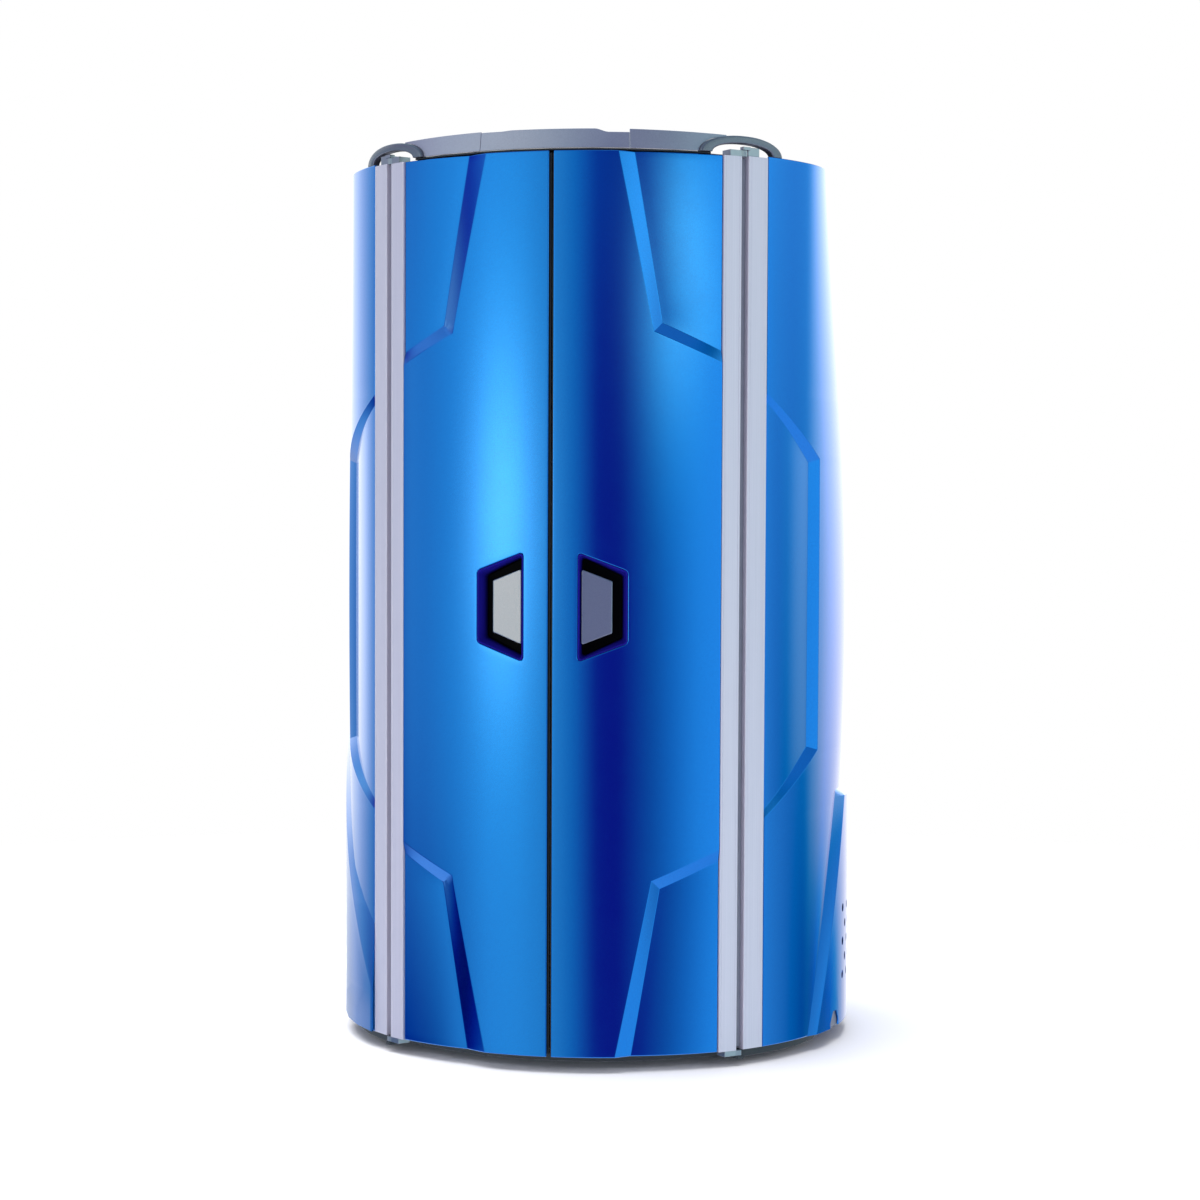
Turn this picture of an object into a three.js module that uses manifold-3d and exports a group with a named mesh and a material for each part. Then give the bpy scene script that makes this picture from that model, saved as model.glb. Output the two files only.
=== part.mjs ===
// Stand-up tanning cabin: a round booth with two curved front doors on pivot hinges, lamp
// banks all round behind acrylic shields, and an exhaust fan in the roof.
// Millimetres, +Z up, origin on the floor under the cabin's axis. Angles are in degrees
// round that axis, 0 at the middle of the front and growing towards +X.

import * as THREE from "three";
import { mergeVertices } from "three/addons/utils/BufferGeometryUtils.js";
import Module from "manifold-3d";

const wasm = await Module();
wasm.setup();

// Overall sizes
const BODY_RADIUS = 664;
const DOOR_BOTTOM = 40;
const DOOR_HEIGHT = 2200;
const FASCIA_RISE = 54;
const SKIN = 6;
const RELIEF = 18;
const GAP = 0.4;
const PANEL_FIT = 8;

// Plan of the front: the split, the door skins, the hinge grooves and the posts
const SPLIT_GAP = 8;
const DOOR_EDGE = 37.2;
const PROFILE_EDGE = 41.7;
const POST_START = 43.45;
const POST_END = 48.8;
const SIDE_END = 150;

// Lower fields at the outer corners of a door, and the bevel that climbs from them to the
// raised middle field. They are deepest along the bevel and nearly flush at the door's edge.
// Rises are heights from the nearer end of the door.
const EDGE_RELIEF = 5;
const LOW_END = 18.5;
const LOW_CORNER = 24.9;
const LOW_CORNER_RISE = 410;
const LOW_SLANT = 64;
const LOW_EDGE_RISE = LOW_CORNER_RISE + LOW_SLANT;
const END_BEVEL = 3.9;
const CORNER_BEVEL = 2.7;
const CORNER_BEVEL_RISE = 23;
const EDGE_BEVEL_RISE = 31;
const RAISED_END = LOW_END - END_BEVEL;
const RAISED_CORNER = LOW_CORNER - CORNER_BEVEL;
const RAISED_CORNER_RISE = LOW_CORNER_RISE + CORNER_BEVEL_RISE;
const RAISED_EDGE_RISE = LOW_EDGE_RISE + EDGE_BEVEL_RISE;

// Recess of a side panel behind its post: its floor, and the bevel that climbs to its rim.
// Reaches are heights from the middle.
const FLOOR_EDGE = 63.6;
const FLOOR_CORNER_REACH = 355;
const FLOOR_SLANT = 147;
const FLOOR_POST_REACH = FLOOR_CORNER_REACH + FLOOR_SLANT;
const RIM_BEVEL = 5.6;
const RIM_CORNER_RISE = 20;
const RIM_POST_RISE = 28;
const RIM_EDGE = FLOOR_EDGE + RIM_BEVEL;
const RIM_CORNER_REACH = FLOOR_CORNER_REACH + RIM_CORNER_RISE;
const RIM_POST_REACH = FLOOR_POST_REACH + RIM_POST_RISE;

// Barrel curve of the body behind the posts
const BARREL_DEPTH = 75;
const BARREL_START = 62;
const BARREL_FULL = 100;

// Raised skirts at the foot of the side panels: [height, angle] along each front bevel
const SKIRT_PROUD = 8;
const SKIRT_WALL = 5;
const SKIRT_BEVEL_HEIGHT = 20;
const SKIRT_END = 147;
const SKIRT_END_BEVEL = 5;
const SKIRT_ROW = 110;
const SKIRT_RIGHT_TOP = 655;
const SKIRT_RIGHT_FOOT = [[DOOR_BOTTOM, 63], [SKIRT_RIGHT_TOP, 79.2]];
const SKIRT_RIGHT_FACE = [[DOOR_BOTTOM, 66.5], [SKIRT_RIGHT_TOP - SKIRT_BEVEL_HEIGHT, 85]];
const SKIRT_LEFT_TOP = 790;
const SKIRT_LEFT_KNEE = 450;
const SKIRT_LEFT_FOOT = [[240, 40], [SKIRT_LEFT_KNEE, 61.5], [SKIRT_LEFT_TOP, 77]];
const SKIRT_LEFT_FACE = [
  [60, 44],
  [SKIRT_LEFT_KNEE, 66],
  [SKIRT_LEFT_TOP - SKIRT_BEVEL_HEIGHT, 83],
];
const VENT_DIAMETER = 22;
const VENT_PITCH_HEIGHT = 44;
const VENT_PITCH_ANGLE = 6;
const VENT_ROWS = 5;
const VENT_COLUMNS = 2;
const VENT_START_ANGLE = 84;
const VENT_START_HEIGHT = 165;
const NOTCH_ANGLE = 77.5;
const NOTCH_WIDTH = 70;
const NOTCH_HEIGHT = 42;

// Rear cover and its air slots
const SLOT_HALF_ANGLE = 9;
const SLOT_HEIGHT = 10;
const SLOT_PITCH = 34;
const SLOT_COUNT = 4;
const LOWER_SLOTS = 340;
const UPPER_SLOTS = 1780;

// Door pulls
const PULL_ANGLE = 11.1;
const PULL_WIDTH = 125;
const PULL_TALL_SIDE = 269;
const PULL_SHORT_SIDE = 179;
const PULL_DEPTH = 52;
const PULL_TAPER = 12;
const PULL_WALL = 4;
const PULL_LIP = 5;
const GRIP_WIDTH = 76;
const GRIP_TALL_SIDE = 184;
const GRIP_SHORT_SIDE = 127;
const GRIP_SETBACK = 14;
const GRIP_PLATE = 8;
const GRIP_FOOT = 12;

// Hinge posts, door edge profiles and pivot hinges
const STRIP_DEPTH = 50;
const STRIP_WALL = 4;
const PIVOT_SETBACK = 5;
const PIN_DIAMETER = 8;
const PIN_CLEARANCE = 0.3;
const KNUCKLE_RADIUS = 7;
const HINGE_LENGTH = 45;
const HINGE_DEPTH = 30;
const DOOR_BLOCK = 15;
const FOOT_BLOCK = 13;
const HINGE_PLATE = 8;
const RUNNING_GAP = 1;

// Base, floor and feet
const BASE_THICKNESS = 22;
const BASE_FRONT_SETBACK = 64;
const BASE_SETBACK = 19;
const PAN_SHEET = 4;
const PAN_RIM = 25;
const FLOOR_THICKNESS = 60;
const FLOOR_SHEET = 12;
const FLOOR_MARGIN = 3;
const FLOOR_BEVEL = 10;
const FOOT_INSET = 80;
const FOOT_RADIUS = 32;
const FOOT_PAD = 9;
const FOOT_STEM = 9;

// Roof
const HEADROOM = 3;
const LID = 4;
const FASCIA_SETBACK = 12;
const FASCIA_WALL = 5;
const FASCIA_SEAM = 16.5;
const FASCIA_DIP = 7;
const FASCIA_CROWN = 9;
const FASCIA_CROWN_BEVEL = 3;
const FASCIA_END = 38.8;
const ARCH_CENTRE = 42.6;
const ARCH_HALF = 10.8;
const ARCH_HOLE_HALF = 7.9;
const ARCH_HEIGHT = 43;
const ARCH_HOLE_HEIGHT = 24;
const ARCH_DEPTH = 20;
const ARCH_PROUD = 10;
const ARCH_SQUARENESS = 2.2;
const ARCH_TOE = 0.01;
const LID_ON_POST = 12;
const CEILING_DROP = 90;
const CEILING = 5;

// Exhaust fan in the middle of the roof
const FAN_BORE = 100;
const FAN_WALL = 6;
const FAN_FLANGE = 25;
const FAN_DEPTH = 60;
const BLADE_COUNT = 7;
const BLADE_CHORD = 46;
const BLADE_THICKNESS = 2.5;
const BLADE_TIP_GAP = 4;
const BLADE_ROOT_PITCH = 34;
const BLADE_TIP_PITCH = 22;
const BLADE_ROOT_SEAT = 8;
const HUB_RADIUS = 38;
const HUB_HEIGHT = 34;
const HUB_BORE_DEPTH = 22;
const MOTOR_RADIUS = 34;
const MOTOR_HEIGHT = 20;
const SPIDER_WIDTH = 12;
const SPIDER_HEIGHT = 16;
const SHAFT_RADIUS = 5;
const GUARD_WIRE = 4;
const GUARD_PITCH = 45;

// Lamp banks, from the reflector in towards the user
const SERVICE_GAP = 8;
const REFLECTOR = 3;
const LAMP_DIAMETER = 38;
const LAMP_BACK_GAP = 10;
const LAMP_FRONT_GAP = 10;
const LAMP_PITCH = 80;
const LAMP_SEAT = 9;
const HOLDER_HEIGHT = 70;
const HOLDER_MARGIN = 4;
const SHIELD = 4;
const BANK_START = 39;
const COLUMN_ANGLE = 117;
const COLUMN_HALF = 3.5;
const TRAY_SHEET = 4;

// Ballasts behind the rear bank
const BALLAST_HALF_ANGLE = 5;
const BALLAST_PITCH_ANGLE = 24;
const BALLAST_COLUMNS = 3;
const BALLAST_HEIGHT = 250;
const BALLAST_PITCH = 280;
const BALLAST_ROWS = 3;
const BALLAST_DEPTH = 28;

// Controls on the right-hand service column
const PANEL_WIDTH = 54;
const PANEL_HEIGHT = 240;
const PANEL_DEPTH = 20;
const PANEL_CENTRE = 1250;
const BUTTON_DIAMETER = 20;
const BUTTON_TRAVEL = 2.5;
const BUTTON_PROUD = 4;
const BUTTON_SEAT = 9;
const BUTTON_START = 27;
const BUTTON_PITCH = 38;
const DISPLAY_WIDTH = 40;
const DISPLAY_HEIGHT = 66;
const DISPLAY_DEPTH = 3;

// Mains gland low on the rear cover
const GLAND_HEIGHT = 170;
const GLAND_DIAMETER = 36;
const GLAND_NECK = 29;
const GLAND_BORE = 20;
const GLAND_LENGTH = 34;
const GLAND_TAIL = 20;

// Facets: degrees of curve in a face of a moulding and of a hidden sheet, sides of round pieces
const FACET = 9;
const SHEET_FACET = 12;
const ROUND = 20;
const SMALL_ROUND = 10;
const HEXAGON = 6;

// Overlap of solids that are joined or cut, and how far a moulding's surface runs on past
// the edge it is trimmed to: in height, and in degrees round the axis
const OVERLAP = 1;
const TRIM = 20;
const TRIM_ANGLE = 4;

// Heights and radii that follow from the sizes above
const DOOR_TOP = DOOR_BOTTOM + DOOR_HEIGHT;
const MIDDLE = DOOR_BOTTOM + DOOR_HEIGHT / 2;
const LID_BOTTOM = DOOR_TOP + HEADROOM;
const LID_TOP = LID_BOTTOM + LID;
const FASCIA_BASE = LID_TOP + GAP;
const FASCIA_TOP = DOOR_TOP + FASCIA_RISE;
const FASCIA_RADIUS = BODY_RADIUS - FASCIA_SETBACK;
const POST_INNER = BODY_RADIUS - STRIP_DEPTH;
const SKIRT_RADIUS = BODY_RADIUS + SKIRT_PROUD;
const BASE_FRONT_RADIUS = BODY_RADIUS - BASE_FRONT_SETBACK;
const BASE_RADIUS = BODY_RADIUS - BASE_SETBACK;
const FOOT_CIRCLE = BASE_FRONT_RADIUS - FOOT_INSET;
const BASE_TOP = DOOR_BOTTOM;
const BASE_BOTTOM = BASE_TOP - BASE_THICKNESS;
const CEILING_BOTTOM = DOOR_TOP - CEILING_DROP;
const REFLECTOR_OUTER = BODY_RADIUS - BARREL_DEPTH - SKIN - SERVICE_GAP;
const REFLECTOR_INNER = REFLECTOR_OUTER - REFLECTOR;
const LAMP_CIRCLE = REFLECTOR_INNER - LAMP_BACK_GAP - LAMP_DIAMETER / 2;
const SHIELD_OUTER = LAMP_CIRCLE - LAMP_DIAMETER / 2 - LAMP_FRONT_GAP;
const SHIELD_INNER = SHIELD_OUTER - SHIELD;
const FLOOR_RADIUS = SHIELD_INNER - FLOOR_MARGIN;
const HINGE_ANGLE = (PROFILE_EDGE + POST_START) / 2;
const HINGE_RADIUS = BODY_RADIUS - PIVOT_SETBACK;

// Finishes
const BLUE = { color: 0x0a6ec2, roughness: 0.28, metalness: 0.45 };
const ALUMINIUM = { color: 0xbfc4d2, roughness: 0.4, metalness: 0.8 };
const ROOF_GREY = { color: 0x9aa0b4, roughness: 0.45, metalness: 0.5 };
const ARCH_GREY = { color: 0x5d6478, roughness: 0.4, metalness: 0.6 };
const NAVY = { color: 0x14105a, roughness: 0.35, metalness: 0.2 };
const SILVER = { color: 0xb4b6c2, roughness: 0.4, metalness: 0.6 };
const STEEL_GREY = { color: 0x3a3d45, roughness: 0.55, metalness: 0.5 };
const WHITE_STEEL = { color: 0xe4e6ea, roughness: 0.4, metalness: 0.3 };
const MIRROR = { color: 0xd9dce2, roughness: 0.12, metalness: 0.95 };
const LAMP_WHITE = { color: 0xeef1fb, roughness: 0.3, metalness: 0.0 };
const ACRYLIC = { color: 0xdde8f2, roughness: 0.08, metalness: 0.0 };
const BLACK = { color: 0x17181b, roughness: 0.5, metalness: 0.1 };
const GREEN = { color: 0x2f9e4f, roughness: 0.4, metalness: 0.0 };
const RED = { color: 0xb8262c, roughness: 0.4, metalness: 0.0 };

const radians = THREE.MathUtils.degToRad;
const lerp = THREE.MathUtils.lerp;

// Angle that a length spans on a circle
function span(length, radius) {
  return THREE.MathUtils.radToDeg(length / radius);
}

// Point at a radius, an angle from the front and a height
function polar(radius, angle, height) {
  const turn = radians(angle);
  return new THREE.Vector3(radius * Math.sin(turn), -radius * Math.cos(turn), height);
}

// Values from one end to the other in equal steps
function spread(from, to, steps) {
  return Array.from({ length: steps + 1 }, (_, i) => lerp(from, to, i / steps));
}

// Value at x on a line through points, held level past its ends
function along(points, x) {
  if (x <= points[0][0]) {
    return points[0][1];
  }
  for (let i = 1; i < points.length; i += 1) {
    const [x0, y0] = points[i - 1];
    const [x1, y1] = points[i];
    if (x <= x1) {
      return lerp(y0, y1, (x - x0) / (x1 - x0));
    }
  }
  return points[points.length - 1][1];
}

// Closed geometry from points and triangles, turned so that its faces point out
function closed(points, triangles) {
  let volume = 0;
  for (const [a, b, c] of triangles) {
    volume += points[a].dot(points[b].clone().cross(points[c]));
  }
  const order = volume < 0 ? ([a, b, c]) => [a, c, b] : (triangle) => triangle;
  const geometry = new THREE.BufferGeometry();
  geometry.setFromPoints(points);
  geometry.setIndex(triangles.flatMap(order));
  return geometry;
}

function toSolid(geometry) {
  const bare = geometry.clone();
  bare.deleteAttribute("normal");
  bare.deleteAttribute("uv");
  const merged = mergeVertices(bare, 1e-3);
  return new wasm.Manifold(new wasm.Mesh({
    numProp: 3,
    vertProperties: new Float32Array(merged.attributes.position.array),
    triVerts: new Uint32Array(merged.index.array),
  }));
}

function toGeometry(solid) {
  const mesh = solid.getMesh();
  const geometry = new THREE.BufferGeometry();
  geometry.setAttribute("position", new THREE.BufferAttribute(mesh.vertProperties, 3));
  geometry.setIndex(new THREE.BufferAttribute(mesh.triVerts, 1));
  return geometry;
}

function join(...geometries) {
  return toGeometry(geometries.map(toSolid).reduce((whole, next) => whole.add(next)));
}

function cut(geometry, ...tools) {
  const start = toSolid(geometry);
  return toGeometry(tools.map(toSolid).reduce((whole, tool) => whole.subtract(tool), start));
}

function keep(geometry, limit) {
  return toGeometry(toSolid(geometry).intersect(toSolid(limit)));
}

// The same piece on the other side of the cabin
function mirrored(geometry) {
  const copy = geometry.index ? geometry.clone() : mergeVertices(geometry.clone());
  copy.applyMatrix4(new THREE.Matrix4().makeScale(-1, 1, 1));
  const index = copy.index.array;
  for (let i = 0; i < index.length; i += 3) {
    [index[i + 1], index[i + 2]] = [index[i + 2], index[i + 1]];
  }
  return copy;
}

// Upright prism of a plan shape
function prism(shape, bottom, top, curveSegments = SMALL_ROUND) {
  const geometry = new THREE.ExtrudeGeometry(shape, {
    depth: top - bottom,
    bevelEnabled: false,
    curveSegments,
  });
  return geometry.translate(0, 0, bottom);
}

// Plan shape through corner points
function plan(points) {
  return new THREE.Shape(points.map((point) => new THREE.Vector2(point.x, point.y)));
}

// Curved wall between two radii and two angles
function wedge(inner, outer, from, to, bottom, top, facet = SHEET_FACET) {
  const shape = new THREE.Shape();
  shape.absarc(0, 0, outer, radians(from - 90), radians(to - 90), false);
  shape.absarc(0, 0, inner, radians(to - 90), radians(from - 90), true);
  return prism(shape, bottom, top, Math.max(1, Math.ceil((to - from) / facet)));
}

// Room between two angles, from well inside the body to well outside it
function sector(from, to, bottom, top) {
  return wedge(BODY_RADIUS / 2, BODY_RADIUS * 2, from, to, bottom, top);
}

// Upright ring or disc, turned from a profile of [radius, height] points
function turned(profile, sides = ROUND) {
  const points = profile.map(([radius, height]) => new THREE.Vector2(radius, height));
  return new THREE.LatheGeometry(points, sides).rotateX(Math.PI / 2);
}

function ring(inner, outer, bottom, top, sides = ROUND) {
  const profile = [[inner, bottom], [outer, bottom], [outer, top], [inner, top], [inner, bottom]];
  return turned(profile, sides);
}

function disc(radius, bottom, top, sides = ROUND) {
  return turned([[0, bottom], [radius, bottom], [radius, top], [0, top]], sides);
}

// Box between two corners
function block(x0, x1, y0, y1, z0, z1) {
  const geometry = new THREE.BoxGeometry(x1 - x0, y1 - y0, z1 - z0);
  return geometry.translate((x0 + x1) / 2, (y0 + y1) / 2, (z0 + z1) / 2);
}

// Moves a piece made at the origin to a place on the cabin: its x runs along the wall
// towards larger angles, and its y in towards the axis
function placed(geometry, angle, radius) {
  const spot = polar(radius, angle, 0);
  return geometry.rotateZ(radians(angle)).translate(spot.x, spot.y, 0);
}

// Shell over a grid of rows, each a list of {angle, height, outer, inner}
function shell(rows) {
  const columns = rows[0].length;
  const points = [];
  for (const row of rows) {
    points.push(...row.map((spot) => polar(spot.outer, spot.angle, spot.height)));
  }
  const behind = points.length;
  for (const row of rows) {
    points.push(...row.map((spot) => polar(spot.inner, spot.angle, spot.height)));
  }
  const triangles = [];
  const quad = (a, b, c, d) => triangles.push([a, b, c], [a, c, d]);
  for (let i = 0; i + 1 < rows.length; i += 1) {
    for (let j = 0; j + 1 < columns; j += 1) {
      const a = i * columns + j;
      const [b, c, d] = [a + 1, a + 1 + columns, a + columns];
      const shorter = points[a].distanceTo(points[c]) < points[b].distanceTo(points[d]);
      const corners = shorter ? [a, b, c, d] : [b, c, d, a];
      quad(...corners);
      quad(...corners.map((corner) => corner + behind).reverse());
    }
    const left = i * columns;
    const right = left + columns - 1;
    quad(left, left + columns, left + columns + behind, left + behind);
    quad(right + columns, right, right + behind, right + columns + behind);
  }
  for (let j = 0; j + 1 < columns; j += 1) {
    const top = (rows.length - 1) * columns + j;
    quad(j + 1, j, j + behind, j + 1 + behind);
    quad(top, top + 1, top + 1 + behind, top + behind);
  }
  return closed(points, triangles);
}

// Wall standing on a curve, with a bottom and a top that vary with the angle
function fence(angles, bottom, top, inner, outer) {
  const row = (height) => angles.map((angle) => ({ angle, height: height(angle), outer, inner }));
  return shell([row(bottom), row(top)]);
}

// Solid between two flat outlines of (x, z) points at two depths
function frustum(front, frontDepth, back, backDepth) {
  const count = front.length;
  const points = [
    ...front.map(([x, z]) => new THREE.Vector3(x, frontDepth, z)),
    ...back.map(([x, z]) => new THREE.Vector3(x, backDepth, z)),
  ];
  const triangles = [];
  for (let i = 0; i < count; i += 1) {
    const next = (i + 1) % count;
    triangles.push([i, next, next + count], [i, next + count, i + count]);
  }
  for (let i = 1; i + 1 < count; i += 1) {
    triangles.push([0, i + 1, i], [count, count + i, count + i + 1]);
  }
  return closed(points, triangles);
}

const cabin = new THREE.Group();

function piece(name, geometry, finish) {
  const mesh = new THREE.Mesh(geometry, new THREE.MeshStandardMaterial(finish));
  mesh.name = name;
  cabin.add(mesh);
}

// A right-hand piece and its mirror image
function pair(name, geometry, finish) {
  piece(`${name}_right`, geometry, finish);
  piece(`${name}_left`, mirrored(geometry), finish);
}

// Outside of the body behind the posts: upright beside them, barrel-shaped at the back
function bodyRadius(angle, height) {
  const share = THREE.MathUtils.smoothstep(Math.abs(angle), BARREL_START, BARREL_FULL);
  const reach = (height - MIDDLE) / (DOOR_HEIGHT / 2);
  return BODY_RADIUS - BARREL_DEPTH * share * reach * reach;
}

// Flat plate with a radius for every angle, which may step at the breaks
function roundPlate(radiusAt, breaks, bottom, top) {
  const points = [];
  const stops = [...breaks.map((angle) => -angle), ...breaks].sort((a, b) => a - b);
  stops.push(stops[0] + 360);
  for (let i = 0; i + 1 < stops.length; i += 1) {
    const [from, to] = [stops[i], stops[i + 1]];
    const steps = Math.max(1, Math.ceil((to - from) / FACET));
    const middle = (from + to) / 2;
    for (const angle of spread(from, to, steps)) {
      const inside = lerp(angle, middle, 1e-6);
      points.push(polar(radiusAt(inside > 180 ? inside - 360 : inside), angle, 0));
    }
  }
  return prism(plan(points), bottom, top);
}

// Base: an upturned steel pan on levelling feet, drawn in under the doors, and the floor
// platform that the user stands on
function base() {
  const panPlate = (inset, step, bottom, top) => {
    const radiusAt = (angle) => (Math.abs(angle) < step
      ? BASE_FRONT_RADIUS
      : Math.min(BASE_RADIUS, bodyRadius(angle, DOOR_BOTTOM) - SKIN - PANEL_FIT));
    const breaks = [step, BARREL_START, SIDE_END];
    return roundPlate((angle) => radiusAt(angle) - inset, breaks, bottom, top);
  };
  const hollowStep = POST_START + span(PAN_RIM, BASE_FRONT_RADIUS);
  const panUnderside = BASE_TOP - PAN_SHEET;
  const pan = panPlate(0, POST_START, BASE_BOTTOM, BASE_TOP);
  const hollow = panPlate(PAN_RIM, hollowStep, BASE_BOTTOM - OVERLAP, panUnderside);
  piece("base_pan", cut(pan, hollow), STEEL_GREY);

  const floorBottom = BASE_TOP + GAP;
  const floorTop = BASE_TOP + FLOOR_THICKNESS;
  const floorUnderside = floorTop - FLOOR_SHEET;
  const floorProfile = [
    [0, floorUnderside],
    [FLOOR_RADIUS - FLOOR_SHEET, floorUnderside],
    [FLOOR_RADIUS - FLOOR_SHEET, floorBottom],
    [FLOOR_RADIUS, floorBottom],
    [FLOOR_RADIUS, floorTop - FLOOR_BEVEL],
    [FLOOR_RADIUS - FLOOR_BEVEL, floorTop],
    [0, floorTop],
  ];
  piece("floor_platform", turned(floorProfile, 360 / SHEET_FACET), STEEL_GREY);

  const footProfile = [
    [0, 0],
    [FOOT_RADIUS, 0],
    [FOOT_RADIUS, FOOT_PAD],
    [FOOT_STEM, FOOT_PAD],
    [FOOT_STEM, panUnderside - GAP],
    [0, panUnderside - GAP],
  ];
  for (const [end, angle] of [["front", 45], ["rear", 135]]) {
    const spot = polar(FOOT_CIRCLE, angle, 0);
    pair(`foot_${end}`, turned(footProfile, SMALL_ROUND).translate(spot.x, spot.y, 0), BLACK);
  }
}

// Uprights: the aluminium hinge posts at the front corners and the steel service columns
function uprights() {
  const wall = span(STRIP_WALL, BODY_RADIUS);
  const tube = (inner, outer, from, to, thickness, inset) => {
    const shape = plan([polar(outer, from), polar(outer, to), polar(inner, to), polar(inner, from)]);
    shape.holes.push(plan([
      polar(outer - thickness, from + inset),
      polar(outer - thickness, to - inset),
      polar(inner + thickness, to - inset),
      polar(inner + thickness, from + inset),
    ]));
    return prism(shape, BASE_TOP + GAP, LID_BOTTOM - GAP);
  };
  pair("hinge_post", tube(POST_INNER, BODY_RADIUS, POST_START, POST_END, STRIP_WALL, wall), ALUMINIUM);
  const column = tube(
    SHIELD_INNER,
    REFLECTOR_OUTER,
    COLUMN_ANGLE - COLUMN_HALF,
    COLUMN_ANGLE + COLUMN_HALF,
    TRAY_SHEET,
    span(TRAY_SHEET, SHIELD_INNER),
  );
  pair("service_column", column, WHITE_STEEL);
}

// Surface of a side panel as rows of spots: recessed behind the post, in a field whose edge
// runs upright in the middle and slants to the post at both ends
function panelGrid(outset, depth) {
  const rimLimit = POST_END - TRIM_ANGLE * 2;
  const floorLimit = rimLimit - TRIM_ANGLE;
  const edge = (reach, corner, cornerReach, postReach, limit) => {
    const past = Math.max(0, reach - cornerReach) / (postReach - cornerReach);
    return Math.max(limit, lerp(corner, POST_END, past));
  };
  const half = DOOR_HEIGHT / 2 + TRIM;
  const reaches = [
    0,
    FLOOR_CORNER_REACH,
    ...spread(RIM_CORNER_REACH, FLOOR_POST_REACH, 3),
    ...spread(RIM_POST_REACH, half, 2),
  ];
  const heights = [...reaches.slice(1).reverse().map((reach) => -reach), ...reaches];
  return heights.map((offset) => {
    const height = MIDDLE + offset;
    const reach = Math.abs(offset);
    const floorEnd = edge(reach, FLOOR_EDGE, FLOOR_CORNER_REACH, FLOOR_POST_REACH, floorLimit);
    const rimStart = edge(reach, RIM_EDGE, RIM_CORNER_REACH, RIM_POST_REACH, rimLimit);
    const spot = (angle, drop) => {
      const outer = bodyRadius(angle, height) - drop + outset;
      return { angle, height, outer, inner: outer - depth };
    };
    return [
      ...spread(floorLimit - TRIM_ANGLE, floorEnd, 3).map((angle) => spot(angle, RELIEF)),
      ...spread(rimStart, SIDE_END + TRIM_ANGLE, 10).map((angle) => spot(angle, 0)),
    ];
  });
}

// Room of a side panel, from its post to the rear cover
function panelRoom() {
  return sector(POST_END + span(GAP, POST_INNER), SIDE_END, DOOR_BOTTOM, LID_TOP);
}

// Skirt over the foot of a side panel: a flat face with bevels down to the panel
function skirt(top, foot, face) {
  const faceTop = top - SKIRT_BEVEL_HEIGHT;
  const steps = Math.ceil((faceTop - DOOR_BOTTOM) / SKIRT_ROW);
  const heights = [...spread(DOOR_BOTTOM - TRIM, faceTop, steps), top];
  const rows = heights.map((height) => {
    const low = (angle) => bodyRadius(angle, height) - GAP;
    const faceRadius = (angle) => (height < top ? SKIRT_RADIUS : low(angle));
    const spot = (angle, outer) => ({ angle, height, outer, inner: outer - SKIRT_WALL });
    const faceAngles = spread(along(face, height), SKIRT_END - SKIRT_END_BEVEL, 7);
    const footAngle = along(foot, height);
    return [
      spot(footAngle, low(footAngle)),
      ...faceAngles.map((angle) => spot(angle, faceRadius(angle))),
      spot(SKIRT_END, low(SKIRT_END)),
    ];
  });
  const panel = shell(panelGrid(GAP, BODY_RADIUS - POST_INNER));
  return cut(keep(shell(rows), panelRoom()), panel);
}

// Air vents in the side of a skirt
function vented(geometry) {
  const holes = [];
  for (let row = 0; row < VENT_ROWS; row += 1) {
    for (let column = 0; column < VENT_COLUMNS; column += 1) {
      const height = VENT_START_HEIGHT + row * VENT_PITCH_HEIGHT;
      const angle = VENT_START_ANGLE + (column + (row % 2) / 2) * VENT_PITCH_ANGLE;
      const radius = VENT_DIAMETER / 2;
      const hole = new THREE.CylinderGeometry(radius, radius, SKIRT_WALL * 4, HEXAGON);
      holes.push(placed(hole.translate(0, 0, height), angle, SKIRT_RADIUS));
    }
  }
  return cut(geometry, ...holes);
}

// Cut-out in the lower edge of a skirt
function notched(geometry) {
  const half = NOTCH_WIDTH / 2;
  const outline = [
    [-half, DOOR_BOTTOM - TRIM],
    [half, DOOR_BOTTOM - TRIM],
    [half, DOOR_BOTTOM + NOTCH_HEIGHT / 3],
    [half - NOTCH_HEIGHT / 2, DOOR_BOTTOM + NOTCH_HEIGHT],
    [-half + NOTCH_HEIGHT / 2, DOOR_BOTTOM + NOTCH_HEIGHT],
    [-half, DOOR_BOTTOM + NOTCH_HEIGHT / 3],
  ];
  const reach = SKIRT_WALL * 2;
  return cut(geometry, placed(frustum(outline, -reach, outline, reach), NOTCH_ANGLE, SKIRT_RADIUS));
}

// Side panels: moulded blue shells, with the skirts on them
function sides() {
  pair("side_panel", keep(shell(panelGrid(0, SKIN)), panelRoom()), BLUE);
  const right = skirt(SKIRT_RIGHT_TOP, SKIRT_RIGHT_FOOT, SKIRT_RIGHT_FACE);
  const left = skirt(SKIRT_LEFT_TOP, SKIRT_LEFT_FOOT, SKIRT_LEFT_FACE);
  piece("rear_skirt_right", notched(vented(right)), BLUE);
  piece("rear_skirt_left", mirrored(notched(vented(left))), BLUE);
}

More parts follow.
